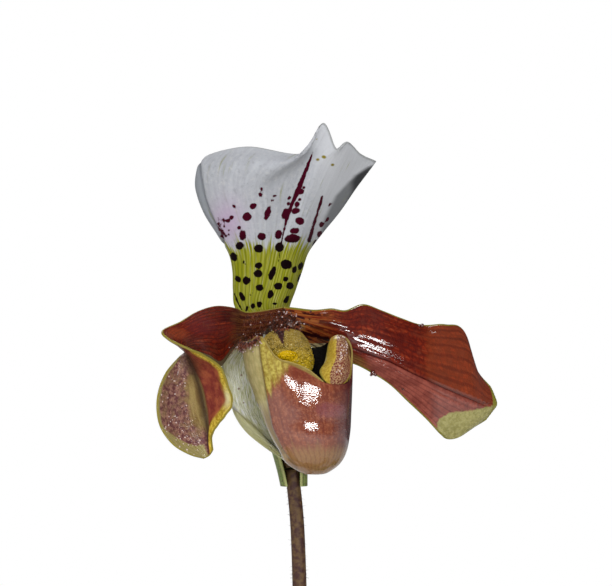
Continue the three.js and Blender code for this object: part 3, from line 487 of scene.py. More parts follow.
def margin_distance(grid):
    """Distance in millimetres of each grid point from the sheet's sides and far end."""
    from_left = np.cumsum(np.linalg.norm(np.diff(grid, axis=1, prepend=grid[:, :1]), axis=2), 1)
    from_foot = np.cumsum(np.linalg.norm(np.diff(grid, axis=0, prepend=grid[:1]), axis=2), 0)
    sides = np.minimum(from_left, from_left[:, -1:] - from_left)
    return np.minimum(sides, from_foot[-1:] - from_foot)


def quads(index):
    return np.stack([index[:-1, :-1], index[:-1, 1:], index[1:, 1:], index[1:, :-1]], -1).reshape(-1, 4)


def sheet(grid, thickness, round_off=0.6):
    """Points and faces of a closed sheet round a grid, with a rounded margin."""
    rows, columns = grid.shape[:2]
    inside = np.clip(margin_distance(grid) / round_off, 0, 1)
    half = 0.5 * thickness * np.maximum(np.sqrt(1 - (1 - inside) ** 2), 0.2)
    lift = grid_normals(grid) * half[..., None]
    points = np.concatenate([(grid + lift).reshape(-1, 3), (grid - lift).reshape(-1, 3)])
    index = np.arange(rows * columns).reshape(rows, columns)
    faces = [quads(index), quads(index)[:, ::-1] + rows * columns]
    border = np.concatenate([index[0, :-1], index[:-1, -1], index[-1, :0:-1], index[:0:-1, 0]])
    after = np.roll(border, -1)
    faces.append(np.stack([border, border + rows * columns, after + rows * columns, after], 1))
    return points, np.concatenate(faces)


def tube(rings):
    """Points and faces of a solid through closed rings of points, with its ends capped."""
    rows, columns = rings.shape[:2]
    index = np.arange(rows * columns).reshape(rows, columns)
    index = np.concatenate([index, index[:, :1]], 1)
    points = np.concatenate([rings.reshape(-1, 3), [rings[0].mean(0), rings[-1].mean(0)]])
    first, last = rows * columns, rows * columns + 1
    start = [[first, index[0, j + 1], index[0, j], index[0, j]] for j in range(columns)]
    stop = [[last, index[-1, j], index[-1, j + 1], index[-1, j + 1]] for j in range(columns)]
    return points, np.concatenate([quads(index), start, stop])


def around(x_radius, y_radius, height, angle):
    """Rings of points round the upright axis."""
    return np.stack([x_radius * np.cos(angle), y_radius * np.sin(angle), height + 0 * angle], -1)


def rings_round(centres, side, other, radius):
    """Rings of points round centres, across two directions, with a radius for each place and angle."""
    angle = full_turn(radius.shape[1])
    return (centres[:, None] + side * (radius * np.cos(angle))[..., None]
            + other * (radius * np.sin(angle))[..., None])


def along_route(route, places):
    """Centres and two crosswise directions along a smooth route, evenly by length."""
    fine = spline(route, ROUTE_PLACES)
    length = np.concatenate([[0], np.cumsum(np.linalg.norm(np.diff(fine, axis=0), axis=1))])
    wanted = np.asarray(places) * length[-1]
    centres = np.stack([np.interp(wanted, length, fine[:, k]) for k in range(3)], 1)
    forward = unit(np.gradient(centres, axis=0))
    side = unit(np.cross(forward, [0.3, 1, 0.1]))
    return centres, side, np.cross(forward, side)


def joined(shapes):
    """Several (points, faces) shapes as one."""
    starts = np.cumsum([0] + [len(points) for points, _ in shapes])
    faces = [np.asarray(faces) + start for (_, faces), start in zip(shapes, starts)]
    return np.concatenate([points for points, _ in shapes]), np.concatenate(faces)


def facing_out(points, faces):
    """The faces of a closed shape, turned outwards."""
    a, b, c, d = (points[faces[:, k]] for k in range(4))
    volume = np.sum(a * (np.cross(b, c) + np.cross(c, d)))
    return faces if volume > 0 else faces[:, [1, 0, 3, 2]]


def turned(points, degrees, about=(0, 0)):
    """Points turned round an upright axis."""
    turn = np.radians(degrees)
    x, y = points[..., 0] - about[0], points[..., 1] - about[1]
    return np.stack([about[0] + x * np.cos(turn) - y * np.sin(turn),
                     about[1] + x * np.sin(turn) + y * np.cos(turn), points[..., 2]], -1)


def linked(name, data):
    """An object in the scene for a mesh, lamp or camera."""
    thing = bpy.data.objects.new(name, data)
    bpy.context.scene.collection.objects.link(thing)
    return thing


def mesh_of(name, points, faces, place=0):
    """A closed mesh from points in millimetres about a place, facing outwards."""
    faces = [list(dict.fromkeys(face)) for face in facing_out(points, faces).tolist()]
    mesh = bpy.data.meshes.new(name)
    mesh.from_pydata(((points + place) * MM).tolist(), [], faces)
    return mesh


def add_piece(name, shape, material, node, values=None, place=BLOOM_CENTRE):
    """Makes a piece from a shape, with its named values at its points, in place of a solid node."""
    mesh = mesh_of(name, *shape, place)
    for key, numbers in (values or {}).items():
        layer = mesh.attributes.new(key, "FLOAT", "POINT")
        layer.data.foreach_set("value", np.asarray(numbers, np.float32))
    mesh.shade_smooth()
    mesh.materials.append(material)
    piece = linked(name, mesh)
    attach(piece, "root")
    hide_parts(node)
    return piece


def sided(front, back=None):
    """Values for both faces of a sheet from those of its grid points, the same on both or not."""
    back = front if back is None else back
    return np.concatenate([front.reshape(-1), back.reshape(-1)])


def values_of(masks, spread):
    """Named values from masks, spread over both faces. A mask that differs between them is a pair."""
    return {key: spread(*mask) if isinstance(mask, tuple) else spread(mask) for key, mask in masks.items()}


def add_sheet(name, grid, u, v, masks, material, node, thickness=SHEET_THICKNESS, round_off=0.6):
    """Makes a sheet piece round a grid."""
    values = values_of({"across": u, "along": v, **masks}, sided)
    add_piece(name, sheet(grid, thickness, round_off), material, node, values)


def colour(value):
    """A shader colour from three screen levels of 0 to 255, or a socket as it is."""
    if isinstance(value, bpy.types.NodeSocket):
        return value
    levels = [level / 255 for level in value]
    levels = [level / 12.92 if level <= 0.04045 else ((level + 0.055) / 1.055) ** 2.4 for level in levels]
    return levels + [1.0]


class Look:
    """A node material, put together from sockets, colours and numbers."""

    def __init__(self, name, **constants):
        self.material = bpy.data.materials.new(name)
        self.material.use_nodes = True
        self.tree = self.material.node_tree
        self.surface = self.tree.nodes["Principled BSDF"]
        for key, value in constants.items():
            self.surface.inputs[key.replace("_", " ")].default_value = value

    def add(self, kind, inputs, output=0, **settings):
        """Adds a node, whose inputs are numbers or sockets, and gives one of its outputs."""
        node = self.tree.nodes.new("ShaderNode" + kind)
        for key, value in settings.items():
            setattr(node, key, value)
        for key, value in inputs.items():
            if isinstance(value, bpy.types.NodeSocket):
                self.tree.links.new(value, node.inputs[key])
            else:
                node.inputs[key].default_value = value
        return node.outputs[output]

    def link(self, value, target):
        self.tree.links.new(value, self.surface.inputs[target])

    def value(self, name):
        return self.add("Attribute", {}, output=2, attribute_name=name)

    def place(self):
        return self.add("TexCoord", {}, output=3)

    def math(self, operation, *inputs):
        return self.add("Math", dict(enumerate(inputs)), operation=operation)

    def plus(self, a, b):
        return self.math("ADD", a, b)

    def times(self, a, b):
        return self.math("MULTIPLY", a, b)

    def scaled(self, value, factor, shift=0.0):
        return self.math("MULTIPLY_ADD", value, factor, shift)

    def fit(self, value, low, high, start=0.0, stop=1.0):
        inputs = {"Value": value, "From Min": low, "From Max": high, "To Min": start, "To Max": stop}
        return self.add("MapRange", inputs, interpolation_type="SMOOTHSTEP")

    def mix(self, share, a, b):
        return self.add("Mix", {0: share, 6: colour(a), 7: colour(b)}, output=2, data_type="RGBA")

    def tones(self, texture, low, high, first, second):
        """The first colour where a texture is below low, the second where it is above high."""
        return self.mix(self.fit(texture, low, high), first, second)

    def stretched(self, *scales):
        """Coordinates of the place, each with its own scale."""
        axes = self.add("SeparateXYZ", {0: self.place()}).node.outputs
        scaled = [self.scaled(axis, scale) for axis, scale in zip(axes, scales)]
        return self.add("CombineXYZ", dict(enumerate(scaled)))

    def on_sheet(self, across_scale, along_scale):
        """Coordinates on a sheet: across and along it, each with its own scale."""
        across = self.scaled(self.value("across"), across_scale)
        return self.add("CombineXYZ", {0: across, 1: self.scaled(self.value("along"), along_scale)})

    def noise(self, scale, detail=3.0, roughness=0.55, place=None):
        place = self.place() if place is None else place
        inputs = {"Vector": place, "Scale": scale, "Detail": detail, "Roughness": roughness}
        return self.add("TexNoise", inputs)

    def sheet_noise(self, across_scale, along_scale, detail=3.0, roughness=0.55):
        return self.noise(1.0, detail, roughness, self.on_sheet(across_scale, along_scale))

    def cells(self, scale):
        return self.add("TexVoronoi", {"Vector": self.place(), "Scale": scale})

    def veins(self, count, width, wander=0.25):
        """1 along veins that run the length of a sheet, and 0 between them."""
        sway = self.sheet_noise(5.0, 10.0)
        phase = self.plus(self.scaled(self.value("across"), count), self.scaled(sway, wander * 2, -wander))
        ridge = self.math("ABSOLUTE", self.math("COSINE", self.scaled(phase, math.pi)))
        return self.fit(ridge, 1 - width, 1.0)

    def network(self, across_scale, along_scale, width):
        """1 along the lines of a net, and 0 in its meshes."""
        inputs = {"Vector": self.on_sheet(across_scale, along_scale), "Scale": 1.0}
        return self.fit(self.add("TexVoronoi", inputs, feature="DISTANCE_TO_EDGE"), width, 0.0)

    def covered(self, ground, *coats):
        """A ground under coats. Each has a mask or the name of a value, a colour and its share.
        A coat with a ragged edge, where its mask is a half, also has a texture and its strength."""
        for mask, over, share, *edge in coats:
            if isinstance(mask, str):
                mask = self.value(mask)
            if edge:
                texture, ragged = edge
                mask = self.fit(self.plus(mask, self.scaled(texture, ragged, -ragged / 2)), 0.25, 0.75)
            ground = self.mix(self.scaled(mask, share), ground, over)
        return ground

    def bump(self, height, depth, strength=1.0):
        return self.add("Bump", {"Strength": strength, "Distance": depth * MM, "Height": height})

    def finish(self, base, bump=None, strength=0.5, depth=0.2, coat=None):
        """Sets the colour, the surface's bumps and those of its gloss, with their depths in millimetres."""
        self.link(base, "Base Color")
        if bump is not None:
            self.link(self.bump(bump, depth, strength), "Normal")
        if coat is not None:
            self.link(self.bump(*coat), "Coat Normal")
        return self.material

    def glossy(self, base, streaks, ribbing, strength, sparkle):
        """Finishes a surface whose gloss follows its value of that name."""
        self.link(self.value("gloss"), "Coat Weight")
        cells = self.cells(2400)
        bump = self.plus(cells, self.scaled(streaks, ribbing))
        return self.finish(base, bump, strength, 0.12, (cells, sparkle))


def oval_field(right, down, spots):
    """Pixels that each point lies inside the nearest of many ovals, negative outside."""
    best = np.full(right.shape, -20.0)
    for spot_right, spot_down, width, height, lean in spots:
        turn = math.radians(lean)
        x, y = right - spot_right, spot_down - down
        u = (x * math.cos(turn) - y * math.sin(turn)) / (width / 2)
        v = (x * math.sin(turn) + y * math.cos(turn)) / (height / 2)
        best = np.maximum(best, (1 - np.hypot(u, v)) * min(width, height) / 2)
    return best


def streak_field(right, down, streak):
    """Pixels that each point lies inside a tapering streak, negative outside."""
    best = np.full(right.shape, -20.0)
    for (x0, y0, w0), (x1, y1, w1) in zip(streak, streak[1:]):
        dx, dy = x1 - x0, y1 - y0
        t = np.clip(((right - x0) * dx + (down - y0) * dy) / (dx * dx + dy * dy), 0, 1)
        gap = np.hypot(right - x0 - t * dx, down - y0 - t * dy)
        best = np.maximum(best, (w0 + (w1 - w0) * t) / 2 - gap)
    return best


def patch(right, down, name):
    """A soft oval patch: 1 in its middle, fading to 0."""
    middle, reach = PATCHES[name]
    return np.exp(-((right - middle[0]) / reach[0]) ** 2 - ((down - middle[1]) / reach[1]) ** 2)


def line_field(right, down, line, reach):
    """1 along a line through pixels, fading to 0 within its reach."""
    return bell(streak_field(right, down, [[x, y, 0] for x, y in line]), reach)


def left_of(right, down, line):
    """Pixels that each point lies to the left of a line that runs down through pixels."""
    line = np.array(sorted(line, key=lambda point: point[1]), float)
    return np.interp(down, line[:, 1], line[:, 0]) - right


def below_line(right, down, line):
    """Pixels that each point lies below a line that runs to the right through pixels."""
    return down - np.interp(right, *np.array(line, float).T)


def dorsal_piece():
    grid, u, v, right, down = sheet_grid(DORSAL_ROWS, across_steps=130, along_steps=170, both=False)
    reflexed = left_of(right, down, DORSAL_REFLEX_LINE)
    valley = line_field(right, down, DORSAL_VALLEY, 6)
    ribs = 0.018 * np.cos(2 * math.pi * 13 * u) + 0.01 * np.cos(2 * math.pi * 31 * u + 4 * v)
    ripples = 0.12 * np.sin(9 * u + 5 * v) * band(v, 0.45, 1) * np.sin(math.pi * u)
    crease = 0.3 * bell(reflexed + 0.5, 1.3) * band(v, 0.35, 0.5)
    grid = relieved(grid, ribs + ripples - crease - 0.5 * valley)
    right, down = pixels_of(grid)
    scatter = random.Random(4)
    small = [[SMALL_SPOTS_CENTRE[0] + SMALL_SPOTS_REACH[0] * (scatter.random() * 2 - 1),
              SMALL_SPOTS_CENTRE[1] + SMALL_SPOTS_REACH[1] * (scatter.random() * 2 - 1),
              1.4 + 1.6 * scatter.random(), 1.6 + 2.6 * scatter.random(), -60 * scatter.random()]
             for _ in range(SMALL_SPOTS_COUNT)]
    spots = oval_field(right, down, SPOTS + small)
    for streak in STREAKS:
        spots = np.maximum(spots, streak_field(right, down, streak))
    above = band(v, 0.3, 0.45)
    masks = {
        "green": band(down, 226, 262),
        # painted shade: the reflexed left band, bent back from the light, is coloured grey-blue
        "painted_reflex_shade": band(reflexed, -0.8, 0.8) * band(down, 262, 236),
        # painted shade: grey along the crease beside the reflexed band and in the valley left of the midrib
        "crease": bell(reflexed, 1.1) * band(v, 0.35, 0.5) + 0.35 * valley,
        # painted shade: the folded right side, turned from the light, is coloured grey
        "fold": band(left_of(right, down, DORSAL_FOLD_LINE), 2, -4) * above * band(down, 163, 172),
        # painted shade: the very edge of the folded right side is coloured near black
        "painted_brink_shade": band(left_of(right, down, DORSAL_BRINK_LINE), 2, -6) * above,
        # painted shade: a grey band along the rolled margin
        "rim": band(margin_distance(grid), 0.7, 0.2),
        # painted light: the right side and the top are coloured whiter to lift the shade that falls on them
        "painted_light": np.maximum(band(right, 304, 334), 0.4 * band(down, 165, 145)),
        "spots": spots,
        "specks": oval_field(right, down, DORSAL_SPECKS),
        "blush": patch(right, down, "blush"),
        "inner": (np.ones(u.shape), np.zeros(u.shape)),
    }
    add_sheet("dorsal_sepal_fine", grid, u, v, masks, dorsal_look(), "dorsal_sepal")


def dorsal_look():
    look = Look("dorsal", Roughness=0.6, Specular_IOR_Level=0.05)
    streaks = look.sheet_noise(70, 5)
    mottle = look.noise(900, 5, 0.65)
    white = look.covered(
        look.tones(streaks, 0.3, 0.7, (192, 195, 201), (180, 182, 189)),
        (look.fit(mottle, 0.5, 0.7), (208, 208, 208), 0.6),
        (look.fit(mottle, 0.45, 0.3), (158, 160, 166), 0.6),
        # painted light on the right side and the top
        ("painted_light", (216, 218, 224), 0.9),
        ("blush", (196, 160, 200), 0.6),
        # painted shade on the reflexed left band
        ("painted_reflex_shade", (150, 155, 162), 0.8),
        # painted shade on the folded right side
        ("fold", (92, 94, 97), 0.78),
        # painted shade at the edge of the folded right side
        ("painted_brink_shade", (40, 40, 42), 0.85),
    )
    yellow = look.covered(
        look.tones(streaks, 0.35, 0.6, (176, 174, 82), (148, 150, 24)),
        (look.veins(26, 0.35, 0.3), (92, 102, 12), 0.5),
    )
    ground = look.covered(
        white,
        ("green", yellow, 1, streaks, 2.2),
        # painted shade along the rolled margin
        ("rim", (140, 142, 138), 0.6),
        # painted shade in the crease and the valley
        ("crease", (78, 80, 86), 0.7),
        (look.fit(look.value("specks"), -0.6, 0.6), (140, 128, 50), 1),
    )
    spotted = look.plus(look.value("spots"), look.scaled(look.noise(900), 2.6, -1.3))
    through = look.fit(look.value("inner"), 0, 1, 0.55, 1)
    dark = look.tones(look.value("green"), 0, 0.6, (66, 0, 24), (14, 0, 3))
    base = look.mix(look.times(look.fit(spotted, -0.35, 0.45), through), ground, dark)
    bump = look.plus(look.cells(4500), look.scaled(streaks, 1.6))
    return look.finish(base, bump, strength=0.4, depth=0.1)


def synsepal_piece():
    grid, u, v, right, down = sheet_grid(SYNSEPAL_ROWS, across_steps=84, along_steps=110, both=False)
    ribs = 0.03 * np.cos(2 * math.pi * 16 * u + 2 * v) + 0.015 * np.cos(2 * math.pi * 41 * u)
    fold = line_field(right, down, SYNSEPAL_FOLD, 2.2)
    grid = relieved(grid, ribs + 0.35 * fold)
    masks = {
        "below": band(below_line(right, down, SYNSEPAL_FOLD), -1.5, 1.5),
        # painted shade: darker along the fold's crease
        "fold": fold,
        "edge": band(margin_distance(grid), 2.5, 0.3),
        "specks": oval_field(right, down, SYNSEPAL_SPECKS),
    }
    look = Look("synsepal", Roughness=0.4, Specular_IOR_Level=0.4, Coat_Weight=1, Coat_Roughness=0.1,
                Coat_IOR=1.7, Subsurface_Weight=0.9, Subsurface_Radius=(1, 1, 0.7), Subsurface_Scale=3 * MM)
    streaks = look.sheet_noise(90, 7, 4, 0.6)
    # one noise for two marks: white streaks that are a painted sheen on the ribs, and darker olive streaks
    # between them
    painted_sheen_and_streaks = look.sheet_noise(150, 14, 3, 0.6)
    ground = look.covered(
        look.tones(streaks, 0.35, 0.62, (246, 246, 230), (216, 216, 176)),
        # painted sheen: white streaks standing for the ribs' silvery highlights
        (look.fit(painted_sheen_and_streaks, 0.5, 0.6), (255, 255, 255), 0.9),
        (look.fit(painted_sheen_and_streaks, 0.46, 0.36), (142, 144, 92), 0.75),
        (look.veins(30, 0.2, 0.5), (160, 166, 106), 0.25),
        (look.fit(look.noise(500, 4), 0.5, 0.75), (180, 170, 116), 0.3),
        ("edge", (168, 166, 106), 0.7),
        ("below", (172, 166, 100), 0.7),
        # painted shade along the fold's crease
        ("fold", (120, 116, 70), 0.55),
        (look.fit(look.value("specks"), -0.6, 0.5), (110, 60, 28), 1),
    )
    bump = look.plus(look.cells(2600), look.scaled(streaks, 3))
    material = look.finish(ground, bump, strength=0.8, depth=0.15, coat=(bump, 0.1))
    add_sheet("synsepal_fine", grid, u, v, masks, material, "synsepal")


def vein_relief(u):
    """Shallow grooves along a petal's veins."""
    return -PETAL_VEIN_DEPTH * np.cos(2 * math.pi * PETAL_VEIN_COUNT * u)


def petal_ground(look, streaks, dapple):
    """The brown-red petal face with its darker net of veins."""
    return look.covered(
        look.tones(dapple, 0.35, 0.65, (138, 42, 20), (106, 26, 12)),
        (look.fit(streaks, 0.48, 0.66), (72, 16, 12), 0.7),
        (look.fit(streaks, 0.46, 0.3), (172, 78, 44), 0.5),
        (look.network(14, 42, 0.22), (76, 16, 14), 0.6),
        (look.fit(dapple, 0.5, 0.68), (156, 74, 54), 0.2),
    )


def right_petal_piece():
    grid, u, v, right, down = sheet_grid(RIGHT_PETAL_ROWS, across_steps=96, along_steps=190, both=False)
    midrib = line_field(right, down, PETAL_MIDRIB, 1.3)
    ruffle = 0.3 * np.sin(38 * v) * np.abs(2 * u - 1) ** 4
    ruffle = ruffle + 0.09 * np.sin(1.25 * right + 0.6 * down) * patch(right, down, "ruffle")
    ruffle = ruffle - 0.55 * band(u, 0.55, 0.9) * band(v, 0.2, 0.32) * band(v, 0.62, 0.5)
    grid = relieved(grid, vein_relief(u) - 0.3 * midrib + ruffle)
    right, down = pixels_of(grid)
    to_margin = margin_distance(grid)
    foot = band(right, 352, 306)
    below = band(below_line(right, down, PETAL_MIDRIB), 0, 3)
    duller = 0.85 * below * band(right, 440, 420)
    beyond = 0.85 * band(right, 378, 392) * band(right, 440, 425)
    masks = {
        "far": band(right, 400, 450) * (1 - below),
        "midrib": line_field(right, down, PETAL_MIDRIB, 1.3) * (1 - band(right, 470, 490)),
        "heavy": line_field(right, down, PETAL_DARK_LINE, 1.9),
        "mauve": below * band(right, 345, 385),
        "tan": below * band(right, 392, 345) * band(to_margin, 6, 2),
        "foot": foot,
        # the pale tan strip below the midrib near the foot: its own colour, made lighter still as painted
        # light where the petal curls back into shade
        "pale": below * band(right, 345, 325),
        "yellow": patch(right, down, "yellow"),
        "green": band(below_line(right, down, PETAL_TIP_EDGE), -3, 3) * band(right, 434, 440),
        "gloss": (1 - duller) * (1 - 0.6 * foot) * (1 - beyond),
        "rim": band(0.55 + 1.3 * band(v, 0.86, 0.97) - to_margin, -0.2, 0.2),
    }
    add_sheet("petal_right_fine", grid, u, v, masks, right_petal_look(), "petal_right")


def right_petal_look():
    look = Look("petal_right", Roughness=0.5, Specular_IOR_Level=0.05, Coat_Roughness=0.06, Coat_IOR=1.6)
    streaks = look.sheet_noise(36, 7)
    dapple = look.noise(420, 4)
    fine = look.noise(1100, 4)
    dots = look.fit(look.sheet_noise(9, 34), 0.42, 0.52)
    dotted_veins = look.times(look.times(look.veins(8, 0.5, 0.12), dots), look.value("foot"))
    fainter = look.fit(look.value("foot"), 1, 0.3, 0.1, 0.34)
    ground = look.covered(
        petal_ground(look, streaks, dapple),
        ("far", (160, 74, 36), 0.4, dapple, 0.8),
        ("mauve", look.tones(dapple, 0.35, 0.65, (172, 96, 82), (140, 72, 62)), 0.75, dapple, 0.5),
        ("tan", look.tones(streaks, 0.4, 0.6, (156, 120, 66), (116, 62, 40)), 0.8, streaks, 0.9),
        ("foot", look.tones(streaks, 0.4, 0.6, (190, 114, 50), (132, 46, 18)), 0.75),
        # the strip's pale tan, lightened as painted light against its shade
        ("pale", (216, 200, 150), 0.85, streaks, 0.5),
        ("yellow", (176, 142, 78), 0.8, streaks, 0.6),
        (dotted_veins, (48, 0, 8), 0.95),
        (look.times(look.veins(PETAL_VEIN_COUNT, 0.22, 0.3), fainter), (66, 10, 10), 1),
        ("midrib", (62, 10, 14), 0.85),
        ("heavy", (44, 4, 8), 1, dots, 0.3),
        ("green", look.tones(fine, 0.35, 0.65, (184, 176, 110), (156, 148, 80)), 1, fine, 1.3),
        ("rim", (138, 132, 44), 1, dapple, 0.6),
    )
    return look.glossy(ground, streaks, ribbing=1.6, strength=0.8, sparkle=0.018)


def left_petal_piece():
    grid, u, v, _, _ = sheet_grid(LEFT_PETAL_ROWS, across_steps=96, along_steps=210, both=False)
    grid = relieved(grid, vein_relief(u))
    wavy = band(v, 0.55, 0.62) * band(v, 0.97, 0.9) * (0.26 * np.sin(52 * v) + 0.06 * np.sin(140 * v))
    grid[..., 0] += wavy * band(u, 0.8, 1)
    to_margin = margin_distance(grid)
    right, down = pixels_of(grid)
    # Beyond its twist the petal shows its back
    far = band(v, 0.485, 0.525)
    near = 1 - far
    yellow_width = 1.4 + 0.8 * band(down, 362, 380) + 1.4 * band(down, 395, 415)
    pale_width = 1.0 + 3.5 * band(down, 425, 452)
    masks = {
        "lobe": far * band(u, 0.56, 0.5),
        "olive": (far * band(u, 0.26, 0.46) * band(u, 0.6, 0.5) * band(down, 440, 420)
                  * band(down, 362, 384)),
        "strip": far * band(u, 0.52, 0.58),
        "yellow": far * band(yellow_width - to_margin, -1.8, 1.8) * band(u, 0.6, 0.7),
        # the third of these patches is a painted shadow, dark beside the column
        **{name: near * patch(right, down, name) for name in ("tawny", "plum", "painted_shadow")},
        # partly the margin's own cream colour, partly a painted highlight
        "cream": patch(right, down, "cream"),
        # painted shade: dark brown along the valley of the twisted far part
        "valley": far * bell(u - 0.5, 0.05 + 0.16 * band(down, 384, 352)),
        "foot": band(v, 0.2, 0.05),
        "rim": band(to_margin, 0.5, 0.2),
        "pale": far * band(pale_width - to_margin, -0.6, 0.8) * band(u, 0.5, 0.3),
        "lower": near * band(u, 0.1, 0.05) * band(v, 0.06, 0.12),
        "gloss": 0.6 - far * (0.55 * band(u, 0.34, 0.44)),
    }
    add_sheet("petal_left_fine", grid, u, v, masks, left_petal_look(), "petal_left")


def left_petal_look():
    look = Look("petal_left", Roughness=0.5, Specular_IOR_Level=0.05, Coat_Roughness=0.09)
    streaks = look.sheet_noise(36, 9)
    dapple = look.noise(420, 4)
    fine = look.noise(1300, 4)
    mauve = look.covered(
        look.tones(fine, 0.37, 0.6, (172, 126, 108), (108, 62, 64)),
        (look.fit(dapple, 0.45, 0.66), (148, 118, 84), 0.7),
        (look.network(22, 60, 0.2), (84, 50, 56), 0.25),
    )
    yellow = look.tones(fine, 0.4, 0.62, (222, 196, 78), (176, 144, 40))
    # the whitish patch: partly the margin's cream, partly a painted highlight
    yellow = look.covered(yellow, ("cream", (236, 226, 172), 1))
    margin = look.plus(look.value("yellow"), look.scaled(dapple, 0.8, -0.4))
    ground = look.covered(
        petal_ground(look, streaks, dapple),
        (look.veins(PETAL_VEIN_COUNT, 0.3, 0.15), (58, 8, 10), 0.6),
        ("tawny", (168, 80, 46), 0.45, streaks, 1),
        ("plum", (112, 42, 44), 0.5, streaks, 1),
        # painted shadow beside the column
        ("painted_shadow", (50, 6, 4), 0.7, streaks, 0.6),
        ("foot", look.tones(streaks, 0.42, 0.6, (64, 26, 18), (128, 78, 38)), 0.8, streaks, 0.5),
        ("lobe", mauve, 1),
        ("olive", look.tones(streaks, 0.35, 0.65, (172, 152, 92), (136, 112, 62)), 0.85, dapple, 0.7),
        ("strip", look.tones(dapple, 0.3, 0.7, (166, 88, 60), (122, 48, 44)), 1),
        (look.fit(margin, 0.1, 0.9), yellow, 1),
        # painted shade in the valley
        ("valley", (58, 40, 28), 0.9),
        ("lower", (104, 88, 62), 1, dapple, 0.3),
        ("pale", (162, 152, 92), 0.8, dapple, 0.6),
        ("rim", (150, 136, 56), 1, dapple, 0.6),
    )
    return look.glossy(ground, streaks, ribbing=1.6, strength=0.8, sparkle=0.08)


def lip_edges(down):
    """Centres and half-widths of the lip's sections at heights in pixels."""
    levels = spline(LIP_LEVELS, CURVE_PLACES)
    order = np.argsort(levels[:, 0])
    left, right, depth = (np.interp(down, levels[order, 0], levels[order, k]) for k in (1, 2, 3))
    half = (right - left) / (LIP_LEFT_SHARE + LIP_RIGHT_SHARE)
    return seen(np.stack([left + LIP_LEFT_SHARE * half, down, depth], -1)), half * PIXEL


def lip_rings():
    """Rings of points up the pouch and over its rolled rim, and the angle round it of each column.
    Also how far each point is up the pouch, and over the roll, from 0 to 1."""
    angle = -full_turn(LIP_SIDES)
    outward = FORWARD * np.cos(angle)[:, None] + LEFTWARD * np.sin(angle)[:, None]
    lobe = LIP_LOBE_RISE * bell(np.degrees(angle) - LIP_LOBE_TURN, LIP_LOBE_REACH)
    rim_down = spline_round(LIP_RIM_DOWN, angle / (2 * math.pi)) - lobe
    rise = np.linspace(0, 1, LIP_STEPS)[:, None]
    toe_down = LIP_LEVELS[0][0]
    centre, half = lip_edges(toe_down + (rim_down - toe_down) * rise ** 1.6)
    reach = np.where(np.cos(angle) > 0, LIP_FRONT_SHARE, LIP_BACK_SHARE)
    across = FORWARD * (reach * np.cos(angle))[:, None] + LEFTWARD * np.sin(angle)[:, None]
    rings = centre + half[..., None] * across
    turn = np.linspace(0, LIP_ROLL_TURN, LIP_ROLL_STEPS + 1)[1:, None]
    away, up = (1 - np.cos(turn))[..., None], np.sin(turn)[..., None]
    roll = rings[-1] + LIP_ROLL_RADIUS * (outward * away + UPWARD * up)
    rise = np.concatenate([rise, np.ones(turn.shape)]) * np.ones(LIP_SIDES)
    rolled = np.concatenate([np.zeros((LIP_STEPS, 1)), turn / LIP_ROLL_TURN]) * np.ones(LIP_SIDES)
    return np.concatenate([rings, roll]), angle, rise, rolled


def lip_dents(right, down):
    """How far the pouch's front is flattened across, less its gentle waves down its height."""
    aside = right - LIP_FRONT_RIGHT
    flat = 1.05 * np.cos(aside / 40 * math.pi) - 0.022 * aside
    less, stop = 1 - 0.58 * band(down, *LIP_FLAT_LESS), 1 - band(down, *LIP_FLAT_STOP)
    flatness = band(down, *LIP_FLAT_START) * less * band(right, *LIP_FLAT_LEFT) * stop
    bulge_down, bulge = spline(LIP_BULGE, CURVE_PLACES).T
    slant = 0.4 * aside * (1 - band(down, *LIP_SLANT_STOP))
    wave = np.interp(down + slant, bulge_down, bulge) * band(np.abs(aside), *LIP_WAVE_SIDE)
    return flatness * flat * band(np.abs(aside), *LIP_FLAT_SIDE) - wave


def tube_sided(outside, inside=None):
    """Values for a tube that runs up a surface's outside and down its inside."""
    inside = outside if inside is None else inside
    return np.concatenate([outside.reshape(-1), inside[::-1].reshape(-1), [outside[0, 0], inside[0, 0]]])


